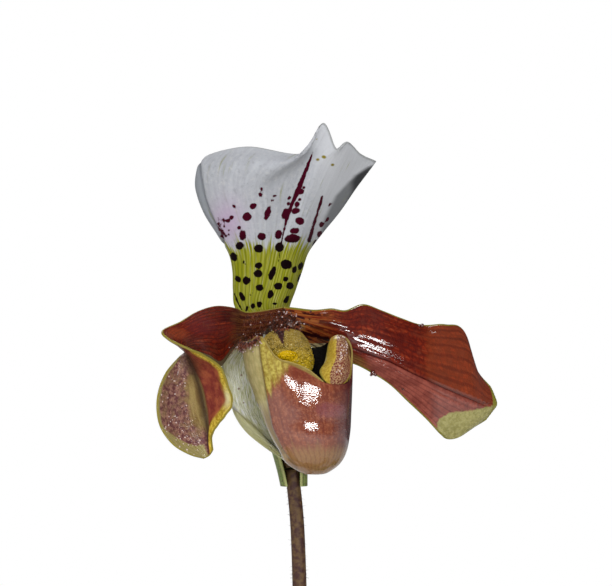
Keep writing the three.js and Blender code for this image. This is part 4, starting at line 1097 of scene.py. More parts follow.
def lip_piece():
    rings, angle, rise, rolled = lip_rings()
    right, down = pixels_of(rings)
    past_crease = left_of(right, down, LIP_CREASE)
    outer = band(np.cos(angle - math.radians(50)), -0.1, 0.1)
    side = band(past_crease, -0.8, 0.8) * outer * band(down, 462, 448)
    back = band(-np.cos(angle - math.radians(10)), 0.2, 0.4) * np.ones(rise.shape)
    normal = grid_normals(rings, closed=True)
    ribs = 0.025 * np.cos(18 * angle) * band(rise, 0.1, 0.3)
    dents = 0.5 * side - ribs + lip_dents(right, down) * (outer * (1 - side))
    rings = rings - normal * dents[..., None]
    lift = normal * LIP_THICKNESS / 2 * (1 - 0.45 * band(rise, 0.95, 1))[..., None]
    shape = tube(np.concatenate([rings + lift, (rings - lift)[::-1]]))
    # Painted shade: the inside below its rim and the pouch's back are coloured near black, except up to the
    # viewer's left, where the inside is olive
    inside_shade = np.maximum(back, band(rise, 0.995, 0.97)) * band(right + down, 632, 655)
    masks = {
        "across": angle / (2 * math.pi) * np.ones(rise.shape),
        "along": rise,
        "side": side,
        "rim": band(rolled, 0.15, 0.5) * band(back, 0.5, 0.2),
        "gloss": ((1 - back) * band((right + down) / 8, 82.2, 83.6) * band(rise, 0.97, 0.93), 0 * rise),
        "flank": band(291 - (down - 360) * 0.72 - right, -17, 15) * outer,
        "toe": band(down, 428, 466),
        "shade": side * band(down, 380, 440),
        "mauve": patch(right, down, "mauve"),
        # painted shade: the pouch's right side, turned from the light, is coloured darker
        "painted_side_shade": band(right, 326, 348) * outer,
        "top": band(down, 384, 368) * band(right, 285, 300),
        # painted shade: darker along the crease at the pale side's edge
        "crease": bell(past_crease, 1.5) * outer,
        # painted shade: the outside of the pouch's back, and its inside, near black
        "inner": (back, inside_shade),
        "olive": (0 * rise, band(right + down, 655, 632)),
    }
    add_piece("lip_fine", shape, lip_look(), "lip", values_of(masks, tube_sided))
    scatter = random.Random(53)
    picks = [(len(rings) - 1 - int(scatter.expovariate(0.7)), scatter.randrange(*LIP_HAIRS))
             for _ in range(LIP_HAIRS_COUNT)]
    ways = 0.5 * picked(normal, picks) + [0.1, -0.6, 0.2]
    tuft = hairs(scatter, picked(rings, picks), ways, lengths=(1.1, 2.4), thickness=0.14, droop=0.5)
    add_hairs("lip_hairs", [tuft], "lip", scatter)


def lip_look():
    look = Look("lip", Roughness=0.45, Specular_IOR_Level=0.05, Coat_Roughness=0.05, Coat_IOR=1.7)
    streaks = look.sheet_noise(80, 5)
    dapple = look.noise(300, 4)
    fine = look.noise(1200)
    olive = look.tones(fine, 0.35, 0.65, (204, 188, 96), (166, 142, 62))
    blotches = look.plus(look.scaled(streaks, 1.7), look.scaled(dapple, 0.4, -1.3))
    flank = look.plus(look.scaled(look.value("flank"), 1.6), blotches)
    cream = look.covered(
        look.tones(dapple, 0.35, 0.65, (208, 194, 138), (184, 168, 110)),
        (look.network(60, 9, 0.2), (150, 146, 84), 0.3),
        ("shade", (150, 124, 80), 1, streaks, 0.5),
    )
    ground = look.covered(
        look.tones(streaks, 0.3, 0.7, (164, 92, 60), (132, 60, 38)),
        (look.fit(dapple, 0.4, 0.7), (134, 72, 56), 0.4),
        (look.fit(fine, 0.4, 0.6), (112, 60, 58), 0.3),
        (look.fit(fine, 0.5, 0.38), (186, 122, 96), 0.35),
        # painted shade on the pouch's right side
        ("painted_side_shade", (68, 20, 40), 0.85),
        ("mauve", (146, 82, 92), 0.5, dapple, 0.4),
        ("top", (126, 56, 44), 0.7),
        ("toe", (166, 128, 82), 0.75, streaks, 0.8),
        (look.fit(flank, 0, 1), olive, 1),
        (look.veins(44, 0.25, 0.6), (110, 52, 40), 0.25),
        ("side", cream, 1),
        # painted shade along the crease
        ("crease", (96, 66, 36), 0.6),
        ("olive", olive, 1),
        # painted shade inside the pouch and on its back
        ("inner", (10, 7, 5), 1),
        ("rim", look.mix(dapple, (196, 176, 104), (150, 126, 66)), 1),
    )
    return look.glossy(ground, streaks, ribbing=1.2, strength=0.7, sparkle=0.018)


def ear_grid(across, along):
    """Points of the ear's middle surface, with the ridge along its back."""
    u, v = np.meshgrid(across, along)
    ridge = 0.3 * bell(u - 0.36, 0.13) * band(v, 0.2, 0.4) * band(v, 0.95, 0.8)
    return relieved(surface_grid(EAR_ROWS, across, along), -ridge)


def ear_piece():
    across, along, u, v = sheet_places(across_steps=50, along_steps=60)
    grid = ear_grid(across, along)
    masks = {
        "rim": band(margin_distance(grid), 1.3, 0.6),
        "spotted": band(u, 0.72, 0.55),
    }
    look = Look("ear", Roughness=0.4, Specular_IOR_Level=0.2, Coat_Weight=1, Coat_Roughness=0.06,
                Coat_IOR=1.7)
    dapple = look.noise(1500, 4)
    pink = look.tones(look.noise(3000, 2), 0.44, 0.54, (206, 164, 118), (122, 40, 34))
    ground = look.covered(
        look.tones(dapple, 0.35, 0.65, (234, 204, 76), (206, 164, 46)),
        ("spotted", pink, 1, dapple, 0.9),
        ("rim", (186, 166, 64), 1, dapple, 0.5),
    )
    cells = look.cells(2200)
    material = look.finish(ground, cells, strength=0.7, depth=0.15, coat=(cells, 0.04))
    add_sheet("lip_ear_fine", grid, u, v, masks, material, "lip", EAR_THICKNESS)


def staminode_piece():
    grid, u, v, right, down = sheet_grid(STAMINODE_ROWS, across_steps=80, along_steps=80)
    boss = patch(right, down, "boss")
    grain = 0.1 * np.sin(90 * u + 5 * np.sin(23 * v)) * np.sin(84 * v + 5 * np.sin(19 * u))
    grid = relieved(grid, grain - 0.6 * boss)
    masks = {
        "boss": band(boss, 0.2, 0.6),
        "lower": band(down, 344, 364),
        "streak": band(streak_field(right, down, STAMINODE_STREAK), -2, 3),
    }
    look = Look("staminode", Roughness=0.5, Specular_IOR_Level=0.1, Coat_Weight=0.3, Coat_Roughness=0.15)
    dapple = look.noise(2800, 4, 0.65)
    ground = look.covered(
        look.mix(look.value("lower"), (198, 168, 80), (240, 204, 42)),
        (look.fit(dapple, 0.42, 0.62), (146, 110, 26), 0.55),
        (look.fit(dapple, 0.42, 0.34), (250, 240, 180), 0.8),
        ("boss", (255, 208, 0), 0.95, dapple, 0.9),
        ("streak", (76, 38, 40), 1, dapple, 0.9),
    )
    cells = look.cells(2400)
    material = look.finish(ground, look.plus(cells, dapple), strength=1, depth=0.25, coat=(cells, 0.2))
    add_sheet("staminode_fine", grid, u, v, masks, material, "column",
              STAMINODE_THICKNESS, round_off=0.9)


def column_pieces():
    steps = np.linspace(0, 1, COLUMN_STEPS)
    angle = full_turn(COLUMN_STEPS)
    place = (steps * (len(COLUMN_RADII) - 1))[:, None]
    lumps = 0.14 * np.sin(5 * angle + 3 * place) * np.sin(3 * place)
    blunt = np.sqrt(1 - (1 - np.minimum(1, np.minimum(steps, 1 - steps) / 0.22 + 0.02)) ** 2)
    radius = (spline(COLUMN_RADII, steps)[:, None] * 0.9 + lumps) * blunt[:, None]
    centres = COLUMN_START + FORWARD * (COLUMN_STEP * place) + [0, 0, -COLUMN_DROOP] * place
    rings = rings_round(centres, LEFTWARD, UPWARD, radius)
    material = dappled(
        "column", 900, 4, 0.38, 0.62, (110, 62, 36), (54, 18, 20), strength=0.8, depth=0.3,
        Roughness=0.35, Coat_Weight=0.4, Coat_Roughness=0.15)
    add_piece("column_fine", tube(rings), material, "column")
    scatter = random.Random(31)
    picks = [(int(scatter.uniform(1, COLUMN_STEPS)), scatter.randrange(COLUMN_STEPS))
             for _ in range(COLUMN_HAIRS_COUNT)]
    roots, outward = roots_on(rings, picks)
    ends = np.array([0.1 if i < COLUMN_FACE_STEP else 0.9 for i, _ in picks])
    ways = outward + [0, -0.4, -0.1] + FORWARD * ends[:, None]
    tufts = [hairs(scatter, roots, ways, lengths=(0.7, 2.0), thickness=0.13, droop=0.35)]
    brow = seen([[scatter.uniform(*BROW_RIGHT), scatter.uniform(*BROW_DOWN), BROW_DEPTH]
                 for _ in range(BROW_HAIRS_COUNT)])
    tufts.append(hairs(scatter, brow, (0.25, -0.3, -0.9), lengths=(0.8, 2.4), thickness=0.13, droop=0.1))
    add_hairs("column_hairs", tufts, "column", scatter)


def dappled(name, scale, detail, low, high, first, second, strength, depth, **constants):
    """A material of two colours in spots that are raised with them."""
    look = Look(name, **constants)
    dapple = look.noise(scale, detail)
    return look.finish(look.tones(dapple, low, high, first, second), dapple, strength, depth)


def picked(grid, picks):
    """The grid's points at pairs of a row and a column."""
    return grid[tuple(np.transpose(picks))]


def roots_on(rings, picks):
    """Points of rings at picks, and their directions away from the middles of their rings."""
    roots = picked(rings, picks)
    return roots, unit(roots - rings.mean(1)[[i for i, _ in picks]])


def hairs(scatter, roots, ways, lengths, thickness, droop):
    """Thin bent hairs that stand on roots, with a range of lengths: as one shape, and their tips."""
    shapes, tips = [], []
    lengths = [scatter.uniform(*lengths) for _ in roots]
    for root, way, length in zip(roots, np.broadcast_to(ways, roots.shape), lengths):
        heading = unit(way + np.array([scatter.gauss(0, 0.35) for _ in range(3)]))
        side = unit(np.cross(heading, [0.31, 0.52, 0.8]))
        other = np.cross(heading, side)
        rings = []
        for share in (0, 0.4, 0.75, 1):
            centre = root + heading * length * share + np.array([0, 0, -droop * length]) * share ** 2
            width = thickness * (1.05 - share)
            rings.append([centre + width * (side * math.cos(turn) + other * math.sin(turn))
                          for turn in (0, 2 * math.pi / 3, 4 * math.pi / 3)])
        shapes.append(tube(np.array(rings)))
        tips.append(centre)
    return joined(shapes), tips


def add_hairs(name, tufts, node, scatter, wet=0.1):
    """Adds tufts of hairs as one piece, and the dew on a share of their tips as another. The dew is pale, a
    painted glint on each drop.
    """
    material = dappled("hair", 1200, 3, 0.44, 0.56, (176, 96, 66), (40, 6, 12), strength=0.5, depth=0.05,
                       Roughness=0.3, Coat_Weight=1, Coat_Roughness=0.1)
    add_piece(name, joined([shape for shape, _ in tufts]), material, node)
    tips = [tip for _, ends in tufts for tip in ends]
    beads = [ball(tip, scatter.uniform(0.1, 0.26)) for tip in scatter.sample(tips, round(wet * len(tips)))]
    # the dew's pale tones are painted glints
    add_piece(name + "_dew_glints", joined(beads), drop_look(name, (244, 226, 222), (196, 150, 150)), node)


def petal_tufts():
    """Hair tufts on the petals' feet, beside the column."""
    scatter = random.Random(41)
    for node, rows, tufts in PETAL_TUFTS:
        grid = surface_grid(rows, np.linspace(0, 1, TUFT_COLUMNS + 1), np.linspace(0, 1, TUFT_ROWS + 1))
        shapes = []
        for across, along, count, lengths, way in tufts:
            picks = [(round(scatter.uniform(*along) * TUFT_ROWS),
                      round(scatter.uniform(*across) * TUFT_COLUMNS)) for _ in range(count)]
            roots = picked(grid, picks) + [0, -0.3, 0]
            shapes.append(hairs(scatter, roots, way, lengths, thickness=0.09, droop=0.3))
        add_hairs(node + "_hairs", shapes, node, scatter, wet=0.02)


def tilts(steps):
    """Angles of a ball's rings from its lower end to its upper end, without the ends."""
    return np.linspace(-0.5, 0.5, steps + 1)[1:-1, None] * math.pi


def ball(centre, radius):
    """A small round drop."""
    tilt = tilts(6)
    points, faces = tube(around(np.cos(tilt), np.cos(tilt), np.sin(tilt), full_turn(9)) * radius + centre)
    return points, facing_out(points, faces)


def drop_look(name, *tones):
    look = Look(name + "_drop", Roughness=0.2, Coat_Weight=1, Coat_Roughness=0.03, Coat_IOR=1.8)
    dapple = look.noise(900)
    return look.finish(look.mix(dapple, *tones), dapple, strength=0.2, depth=0.05)


def beads_on(grid, scatter, count, largest):
    """Small drops somewhere on a grid."""
    rows, columns = grid.shape[:2]
    return [ball(grid[scatter.randrange(rows), scatter.randrange(columns)],
                 scatter.uniform(BEAD_RADIUS, largest)) for _ in range(count)]


def drop_pieces():
    """Small glossy drops on the petals and the ear. Those on the ear and the left petal's lobe are pale
    raised dots whose light colour is a painted highlight; the right petal's are brown drops.
    """
    scatter = random.Random(67)
    lobe = surface_grid(LEFT_PETAL_ROWS, np.linspace(0.06, 0.36, 40), np.linspace(0.62, 0.95, 60))
    ear = ear_grid(np.linspace(0.3, 0.5, 12), np.linspace(0.2, 0.9, 60))
    ear = ear - 0.5 * EAR_THICKNESS * grid_normals(ear)
    # pale tones for the painted glints on the ear and the lobe, brown for the right petal's drops
    pale, brown = [(240, 220, 212), (216, 186, 178)], [(112, 48, 38), (74, 24, 20)]
    lobe_glint_beads = beads_on(lobe + [0, -0.35, 0], scatter, count=46, largest=0.3)
    for node, slot, balls, tones in [
        ("lip", "lip", beads_on(ear, scatter, count=34, largest=0.26), pale),
        ("petal_left", "petal", lobe_glint_beads, pale),
        ("petal_right", "petal", [ball(seen(place), radius) for *place, radius in PETAL_DROPS], brown),
    ]:
        add_piece(node + "_drops_and_glints", joined(balls), drop_look(node, *tones), node)


def stalk_pieces():
    places = np.linspace(0, 1, STALK_STEPS)
    angle = full_turn(STALK_SIDES)
    scatter = random.Random(17)
    material = dappled("stalk", 700, 4, 0.35, 0.65, (112, 84, 50), (70, 36, 32), strength=0.8, depth=0.2,
                       Roughness=0.6)
    ovary = spline(OVARY_RADII, places)[:, None] * (1 + 0.09 * np.cos(6 * angle))
    scape = (SCAPE_TOP_RADIUS + SCAPE_WIDENING * places)[:, None] * (1 + 0.012 * np.cos(9 * angle))
    for node, route, radius, count in [
        ("ovary", OVARY_ROUTE, ovary, OVARY_HAIRS_COUNT),
        ("scape", SCAPE_ROUTE, scape, SCAPE_HAIRS_COUNT),
    ]:
        centres, side, other = along_route(route, places)
        rings = rings_round(centres, side[:, None], other[:, None], radius)
        picks = [(int(scatter.uniform(*STALK_HAIRY_STEPS)), scatter.randrange(STALK_SIDES))
                 for _ in range(count)]
        roots, outward = roots_on(rings, picks)
        roots = roots - 0.05 * outward
        down, _ = hairs(scatter, roots, outward, lengths=(0.5, 1.1), thickness=0.045, droop=0.1)
        add_piece(node + "_fine", joined([tube(rings), down]), material, node)


def bract_piece():
    _, along, u, v = sheet_places(across_steps=64, along_steps=90)
    centres, _, _ = along_route(BRACT_ROUTE, BRACT_FOOT + (BRACT_TIP - BRACT_FOOT) * along)
    q = 2 * u - 1
    turn = math.pi / 2 + q * np.radians(spline(BRACT_REACH_ALONG, along))[:, None]
    keel = 0.5 * bell(q, 0.07) - 0.05 * np.cos(40 * math.pi * u)
    radius = spline(BRACT_RADIUS_ALONG, along)[:, None] + keel * band(v, 0, 0.2)
    grid = centres[:, None] + around(radius, radius, 0, turn)
    masks = {
        "foot": band(v, 0.45, 0),
        "rim": band(margin_distance(grid), 0.8, 0.3),
    }
    look = Look("bract", Roughness=0.45, Coat_Weight=0.15, Coat_Roughness=0.25)
    streaks = look.sheet_noise(40, 4)
    speckles = look.times(look.fit(look.noise(1500), 0.52, 0.6), look.value("foot"))
    ground = look.covered(
        look.tones(streaks, 0.3, 0.7, (158, 172, 88), (112, 136, 52)),
        (look.veins(20, 0.25), (84, 104, 34), 0.5),
        (speckles, (84, 30, 44), 1),
        ("rim", (186, 190, 120), 1),
    )
    material = look.finish(ground, streaks, strength=0.5, depth=0.1)
    add_sheet("bract_fine", grid, u, v, masks, material, "bract", BRACT_THICKNESS, round_off=0.4)


def leaf_look():
    look = Look("leaf", Roughness=0.38, Coat_Weight=0.25, Coat_Roughness=0.22)
    streaks = look.sheet_noise(30, 3)
    upper = look.covered(
        look.tones(streaks, 0.3, 0.7, (86, 122, 46), (62, 98, 32)),
        (look.fit(look.sheet_noise(5, 22), 0.42, 0.62), (110, 142, 62), 0.4),
        (look.veins(18, 0.16, 0.1), (48, 80, 26), 0.3),
    )
    speckles = look.times(look.fit(look.noise(1100), 0.5, 0.6), look.value("foot"))
    under = look.covered(
        look.tones(streaks, 0.3, 0.7, (136, 160, 84), (112, 138, 66)),
        (speckles, (86, 40, 54), 1),
    )
    ground = look.covered(
        look.mix(look.value("upper"), under, upper),
        ("midrib", (120, 146, 70), 0.7),
        ("rim", (148, 158, 84), 0.8),
        ("tip", (150, 132, 70), 1, streaks, 0.8),
    )
    bump = look.plus(look.cells(1800), look.scaled(streaks, 2))
    return look.finish(ground, bump, strength=0.35, depth=0.1)


def leaf_piece(name, growth, leaf, material):
    offset, length, foot_lean, tip_lean, turn = leaf
    side = math.copysign(1, offset)
    fine = np.linspace(0, 1, LEAF_STEPS + 1)
    lean = np.radians(foot_lean + (tip_lean - foot_lean) * fine ** 1.25)
    between = (lean[1:] + lean[:-1]) / 2
    step = length / LEAF_STEPS
    reach = np.concatenate([[0], np.cumsum(step * np.sin(between))]) + abs(offset)
    height = np.concatenate([[0], np.cumsum(step * np.cos(between))]) + LEAF_START
    _, along, u, v = sheet_places(across_steps=34, along_steps=84, both=False)
    q = 2 * u - 1
    half = LEAF_HALF_WIDTH * spline(LEAF_WIDTH_ALONG, along)[:, None]
    fold = np.radians(spline(LEAF_FOLD_ALONG, along))[:, None]
    lean, reach, height = (np.interp(along, fine, values)[:, None] for values in (lean, reach, height))
    rise = (np.sqrt(q * q + 0.004) - math.sqrt(0.004)) * half * np.sin(fold)
    x, z = reach - rise * np.cos(lean), height + rise * np.sin(lean)
    grid = np.stack([side * x, q * half * np.cos(fold), z], -1)
    groove = bell(q, 0.07) * band(v, 0.97, 0.8)
    waves = 0.35 * np.sin(17 * v + offset) * q ** 2 * band(v, 0.1, 0.4) * band(v, 1, 0.8)
    grid = relieved(grid, -side * (waves - 0.45 * groove - 0.03 * np.cos(36 * math.pi * u)))
    faces_up = (np.zeros(u.shape), np.ones(u.shape))
    masks = {
        "across": u,
        "along": v,
        "midrib": groove,
        "rim": band(margin_distance(grid), 0.9, 0.3),
        "foot": band(v, 0.3, 0.02),
        "tip": band(v, 0.975, 1.0),
        "upper": faces_up if side > 0 else faces_up[::-1],
    }
    points, faces = sheet(grid, LEAF_THICKNESS, round_off=0.9)
    points = in_growth(turned(points, turn, (offset, 0)), growth)
    add_piece(name + "_fine", (points, faces), material, name, values_of(masks, sided), place=0)


def in_growth(points, growth):
    """Points about a growth's own middle, turned and moved to where it stands."""
    at, fan_turn, *_ = growth
    return turned(points, fan_turn) + [*at, 0]


def sheath_shape(half_length, leaf):
    """The clasping foot of a leaf: round its crown below, and folded like the leaf above."""
    offset, _, foot_lean, _, turn = leaf
    share = abs(offset) / (half_length - 3)
    _, _, u, v = sheet_places(across_steps=26, along_steps=20)
    q = 2 * u - 1
    low = around(half_length * (0.3 + 0.66 * share), CROWN_HALF_WIDTH * (0.5 + 0.46 * share),
                 0 * v + SHEATH_FOOT, q * math.radians(104))
    half, fold = LEAF_HALF_WIDTH * LEAF_WIDTH_ALONG[0], math.radians(LEAF_FOLD_ALONG[0])
    lean = math.radians(foot_lean)
    rise = np.abs(q) * half * math.sin(fold)
    high = np.stack([abs(offset) - rise * math.cos(lean), q * half * math.cos(fold),
                     LEAF_START + rise * math.sin(lean)], -1)
    blend = band(v, 0, 1.1)[..., None]
    grid = low * (1 - blend) + high * blend
    grid[..., 2] = SHEATH_FOOT + (high[..., 2] - SHEATH_FOOT) * v
    grid[..., 0] *= math.copysign(1, offset)
    grid = relieved(grid, 0.06 * np.cos(24 * math.pi * u))
    grid = turned(grid, turn * blend[..., 0], (offset, 0))
    points, faces = sheet(grid, SHEATH_THICKNESS, round_off=0.5)
    return (points, facing_out(points, faces)), sided(v)


def sheath_look():
    look = Look("sheath", Roughness=0.55, Coat_Weight=0.1, Coat_Roughness=0.3)
    fibres = look.noise(1, place=look.stretched(900, 900, 60))
    green = look.tones(fibres, 0.35, 0.65, (132, 150, 78), (104, 122, 56))
    brown = look.tones(fibres, 0.35, 0.65, (148, 122, 78), (104, 76, 46))
    height = look.plus(look.value("height"), look.scaled(look.noise(260, 5), 0.5, -0.25))
    base = look.covered(
        look.tones(height, 0.25, 0.6, brown, green),
        (look.fit(look.noise(1100), 0.52, 0.62), (92, 44, 54), 0.7),
    )
    return look.finish(base, fibres, strength=0.7, depth=0.2)


def growth_pieces():
    leaf_material, sheath_material = leaf_look(), sheath_look()
    radius, height = np.split(spline(CROWN_PROFILE, np.linspace(0, 1, 40))[1:-1], 2, axis=1)
    for name, growth in GROWTHS.items():
        _, _, half_length, leaves = growth
        rings = around(half_length * radius, CROWN_HALF_WIDTH * radius, height, full_turn(64))
        sheaths = [sheath_shape(half_length, leaf) for leaf in leaves]
        points, faces = joined([tube(rings)] + [shape for shape, _ in sheaths])
        heights = np.concatenate([np.zeros(rings[..., 0].size + 2)] + [heights for _, heights in sheaths])
        crown = "crown_" + name
        shape = in_growth(points, growth), faces
        add_piece(crown + "_fine", shape, sheath_material, crown, {"height": heights}, place=0)
        for number, leaf in enumerate(leaves, 1):
            leaf_piece(f"leaf_{name}_{number}", growth, leaf, leaf_material)


def inner_radius(height):
    """Radius of the pot's inner wall."""
    share = (height - POT_FLOOR) / (POT_HEIGHT - POT_FLOOR)
    return POT_INNER_BASE + (POT_INNER_NECK - POT_INNER_BASE) * share


def lathe(profile, sides, uneven=lambda height, angle: 0):
    """A solid turned round the upright axis from [radius, height] pairs that start and end on it."""
    profile = np.asarray(profile, float)
    angle = full_turn(sides)
    radius = profile[:, :1] + uneven(profile[:, 1:], angle)
    return tube(around(radius, radius, profile[:, 1:], angle))


def squarish(values, power):
    """Values of -1 to 1, pushed away from 0."""
    return np.sign(values) * np.abs(values) ** power


def chip_shape(scatter):
    """A rounded, uneven chip of bark, somewhere on the medium."""
    length = CHIP_LENGTH * scatter.uniform(0.45, 1)
    width = CHIP_LENGTH * scatter.uniform(0.3, 0.6)
    depth = scatter.uniform(2.2, 4.2)
    tilt = tilts(10)
    turn = full_turn(18)
    phase = [scatter.uniform(0, 6.3) for _ in range(4)]
    bulge = 1 + 0.09 * np.sin(2 * turn + phase[0]) + 0.07 * np.sin(5 * turn + phase[1])
    flat = squarish(np.cos(tilt), 0.35)
    x = length / 2 * bulge * flat * squarish(np.cos(turn), 0.7)
    y = width / 2 * bulge * flat * squarish(np.sin(turn), 0.7)
    z = depth / 2 * squarish(np.sin(tilt), 0.6) * (1 + 0.16 * np.sin(1.1 * y + phase[2]))
    z = z + 0.02 * x ** 2 * math.sin(phase[3])
    points, faces = tube(np.stack([x, y, z], -1))
    roll, pitch = scatter.gauss(0, 0.3), scatter.gauss(0, 0.25)
    x, y, z = points.T
    y, z = y * math.cos(roll) - z * math.sin(roll), y * math.sin(roll) + z * math.cos(roll)
    x, z = x * math.cos(pitch) - z * math.sin(pitch), x * math.sin(pitch) + z * math.cos(pitch)
    points = turned(np.stack([x, y, z], -1), scatter.uniform(0, 360))
    radius, way = CHIP_CIRCLE * math.sqrt(scatter.random()), scatter.uniform(0, 2 * math.pi)
    place = [radius * math.cos(way), radius * math.sin(way), MEDIUM_TOP + scatter.uniform(0.6, 4)]
    return points + place, faces, scatter.random()


def clear_of_plant(points):
    """Whether a chip lies inside the pot and outside the crowns."""
    if np.hypot(points[:, 0], points[:, 1]).max() > inner_radius(MEDIUM_TOP) or points[:, 2].max() > CHIP_TOP:
        return False
    for at, fan_turn, half_length, _ in GROWTHS.values():
        local = turned(points - [*at, 0], -fan_turn)
        if (np.hypot(local[:, 0] / half_length, local[:, 1] / CROWN_HALF_WIDTH) < 1.02).any():
            return False
    return True


def medium_piece():
    scatter = random.Random(23)
    top = inner_radius(MEDIUM_TOP) - MEDIUM_GAP
    profile = [[0.01, MEDIUM_FOOT], [POT_INNER_BASE - 4, MEDIUM_FOOT], [inner_radius(9) - MEDIUM_GAP, 9.4],
               [inner_radius(50) - MEDIUM_GAP, 50]]
    profile += [[top * share, MEDIUM_TOP + 0.9 * (1 - share)] for share in np.linspace(1, 0.03, 24)]
    points, faces = lathe(profile, MEDIUM_SIDES)
    x, y, z = points.T
    lumps = np.sin(x * 0.9) * np.sin(y * 1.1) + np.sin(x * 0.37 + y * 0.5)
    points[:, 2] += 0.4 * lumps * (z > MEDIUM_TOP - 1)
    shapes, tones = [(points, facing_out(points, faces))], [np.full(len(points), 0.1)]
    while len(shapes) <= CHIP_COUNT:
        points, faces, tone = chip_shape(scatter)
        if clear_of_plant(points):
            shapes.append((points, facing_out(points, faces)))
            tones.append(np.full(len(points), tone))
    look = Look("bark", Roughness=0.85)
    fibres = look.noise(1, 5, place=look.stretched(500, 160, 700))
    grain = look.noise(350, 6)
    dark = look.tones(fibres, 0.35, 0.65, (92, 60, 42), (50, 32, 24))
    light = look.tones(fibres, 0.35, 0.65, (158, 112, 78), (112, 74, 50))
    base = look.tones(look.plus(look.value("tone"), look.scaled(grain, 1, -0.5)), 0.15, 0.95, dark, light)
    material = look.finish(base, look.plus(fibres, grain), strength=1, depth=0.5)
    values = {"tone": np.concatenate(tones)}
    add_piece("bark_medium_fine", joined(shapes), material, "bark_medium", values, place=0)


def rounded(corners, radius, steps=5):
    """A profile through corners, each rounded off, with points also along its straight parts."""
    corners = np.array(corners, float)
    path = [corners[:1]]
    t = np.linspace(0, 1, steps)[:, None]
    for before, corner, after in zip(corners, corners[1:], corners[2:]):
        reach = min(radius, np.linalg.norm(before - corner) / 2.1, np.linalg.norm(after - corner) / 2.1)
        start, stop = corner + unit(before - corner) * reach, corner + unit(after - corner) * reach
        path.append((1 - t) ** 2 * start + 2 * t * (1 - t) * corner + t * t * stop)
    path = np.concatenate([*path, corners[-1:]])
    finer = [path[:1]]
    for start, stop in zip(path, path[1:]):
        pieces = max(1, round(np.linalg.norm(stop - start) / 1.6))
        finer.append(start + (stop - start) * (np.arange(1, pieces + 1) / pieces)[:, None])
    return np.concatenate(finer)


def uneven_clay(height, angle):
    """How far the pot's surface strays from a true round, in millimetres."""
    rings = 0.07 * np.sin(1.9 * height) * band(height, 4, 12) + 0.03 * np.sin(5.3 * height)
    return (rings + 0.06 * np.sin(3 * angle + 0.05 * height)) * band(height, 0.5, 3)


def pot_piece():
    foot = POT_HEIGHT - POT_RIM_HEIGHT
    corners = [[0.01, 0], [POT_BASE_RADIUS, 0], [POT_NECK_RADIUS, foot], [POT_RIM_RADIUS, foot],
               [POT_RIM_RADIUS, POT_HEIGHT], [POT_INNER_NECK, POT_HEIGHT],
               [POT_INNER_BASE, POT_FLOOR], [0.01, POT_FLOOR]]
    shape = lathe(rounded(corners, POT_ROUNDING), POT_SIDES, uneven_clay)
    pot = add_piece("pot_fine", shape, pot_look(), "pot", place=0)
    low, high = -3, POT_FLOOR + 3
    profile = [[0.01, low], [DRAIN_HOLE_RADIUS, low], [DRAIN_HOLE_RADIUS, high], [0.01, high]]
    points, faces = lathe(profile, DRAIN_HOLE_SIDES)
    for number in range(DRAIN_HOLE_COUNT):
        turn = (number + 0.5) / DRAIN_HOLE_COUNT * 2 * math.pi
        place = [DRAIN_HOLE_CIRCLE * math.cos(turn), DRAIN_HOLE_CIRCLE * math.sin(turn), 0]
        cut_out(pot, points + place, faces)
    pot.data.set_sharp_from_angle(angle=math.radians(50))


def cut_out(piece, points, faces):
    """Cuts a closed shape out of a piece."""
    cutter = linked("cutter", mesh_of("cutter", points, faces))
    cut = piece.modifiers.new("cut", "BOOLEAN")
    cut.operation = "DIFFERENCE"
    cut.object = cutter
    cut.solver = "EXACT"
    bpy.context.view_layer.update()
    shown = piece.evaluated_get(bpy.context.evaluated_depsgraph_get())
    result = bpy.data.meshes.new_from_object(shown)
    piece.modifiers.clear()
    piece.data = result
    bpy.data.objects.remove(cutter)


def pot_look():
    look = Look("pot", Roughness=0.85)
    grain = look.noise(900, 4)
    bands = look.noise(1, place=look.stretched(0, 0, 160))
    clay = look.covered(
        look.tones(look.noise(22, 5, 0.6), 0.35, 0.65, (188, 116, 80), (164, 92, 60)),
        (look.fit(bands, 0.4, 0.65), (144, 78, 52), 0.3),
        (look.fit(grain, 0.5, 0.7), (210, 150, 112), 0.35),
        (look.fit(look.noise(60, 6, 0.65), 0.52, 0.72), (206, 186, 168), 0.55),
    )
    return look.finish(clay, look.plus(grain, look.scaled(bands, 0.6)), strength=0.6, depth=0.25)


def add_camera():
    camera = linked("camera", bpy.data.cameras.new("camera"))
    camera.data.sensor_width = SENSOR_WIDTH
    camera.data.lens = SENSOR_WIDTH * VIEW_DISTANCE / (IMAGE_WIDTH_PIXELS * PIXEL)
    camera.data.clip_start = 0.01
    aside, above = (VIEW_RIGHT - COLUMN_RIGHT) * PIXEL, (COLUMN_DOWN - VIEW_DOWN) * PIXEL
    camera.location = (BLOOM_CENTRE + [aside, -VIEW_DISTANCE, above]) * MM
    camera.rotation_euler = (math.pi / 2, 0, 0)
    bpy.context.scene.camera = camera


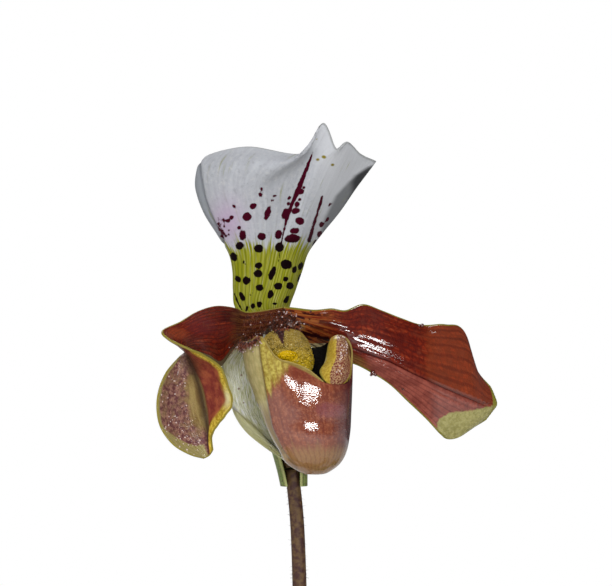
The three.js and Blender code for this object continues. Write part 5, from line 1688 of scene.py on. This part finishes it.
def add_lamps():
    for name, (turn, rise, distance, width, height, power) in LAMPS.items():
        turn, rise = math.radians(turn), math.radians(rise)
        light = bpy.data.lights.new(name, "AREA")
        light.shape = "RECTANGLE"
        light.size = width
        light.size_y = height
        light.energy = power
        lamp = linked(name, light)
        way = Vector((math.sin(turn) * math.cos(rise), -math.cos(turn) * math.cos(rise), math.sin(rise)))
        lamp.location = Vector(BLOOM_CENTRE * MM) + way * distance
        lamp.rotation_euler = way.to_track_quat("Z", "Y").to_euler()


def add_world():
    """Plain white behind the plant, which lights it only faintly."""
    world = bpy.data.worlds.new("world")
    world.use_nodes = True
    tree = world.node_tree
    faint, white = tree.nodes["Background"], tree.nodes.new("ShaderNodeBackground")
    for background in (faint, white):
        background.inputs["Color"].default_value = (1, 1, 1, 1)
    faint.inputs["Strength"].default_value = WORLD_LIGHT
    path, mixed = tree.nodes.new("ShaderNodeLightPath"), tree.nodes.new("ShaderNodeMixShader")
    for number, source in enumerate([path.outputs["Is Camera Ray"], faint.outputs[0], white.outputs[0]]):
        tree.links.new(source, mixed.inputs[number])
    tree.links.new(mixed.outputs[0], tree.nodes["World Output"].inputs[0])
    bpy.context.scene.world = world
    bpy.context.scene.view_settings.view_transform = "Standard"


def add_floor():
    bpy.ops.mesh.primitive_circle_add(vertices=128, radius=FLOOR_RADIUS, fill_type="NGON")
    floor = bpy.context.object
    floor.name = "floor"
    look = Look("floor", Roughness=0.8, Emission_Color=(1, 1, 1, 1))
    away = look.add("VectorMath", {0: look.place()}, output=1, operation="LENGTH")
    look.link(look.fit(away, 0.2, FLOOR_RADIUS, 0.06, 0.6), "Emission Strength")
    floor.data.materials.append(look.finish(look.mix(look.noise(30), (236, 236, 234), (228, 228, 226))))


dorsal_piece()
synsepal_piece()
right_petal_piece()
left_petal_piece()
lip_piece()
ear_piece()
staminode_piece()
column_pieces()
petal_tufts()
drop_pieces()
stalk_pieces()
bract_piece()
growth_pieces()
medium_piece()
pot_piece()
add_camera()
add_lamps()
add_world()
add_floor()
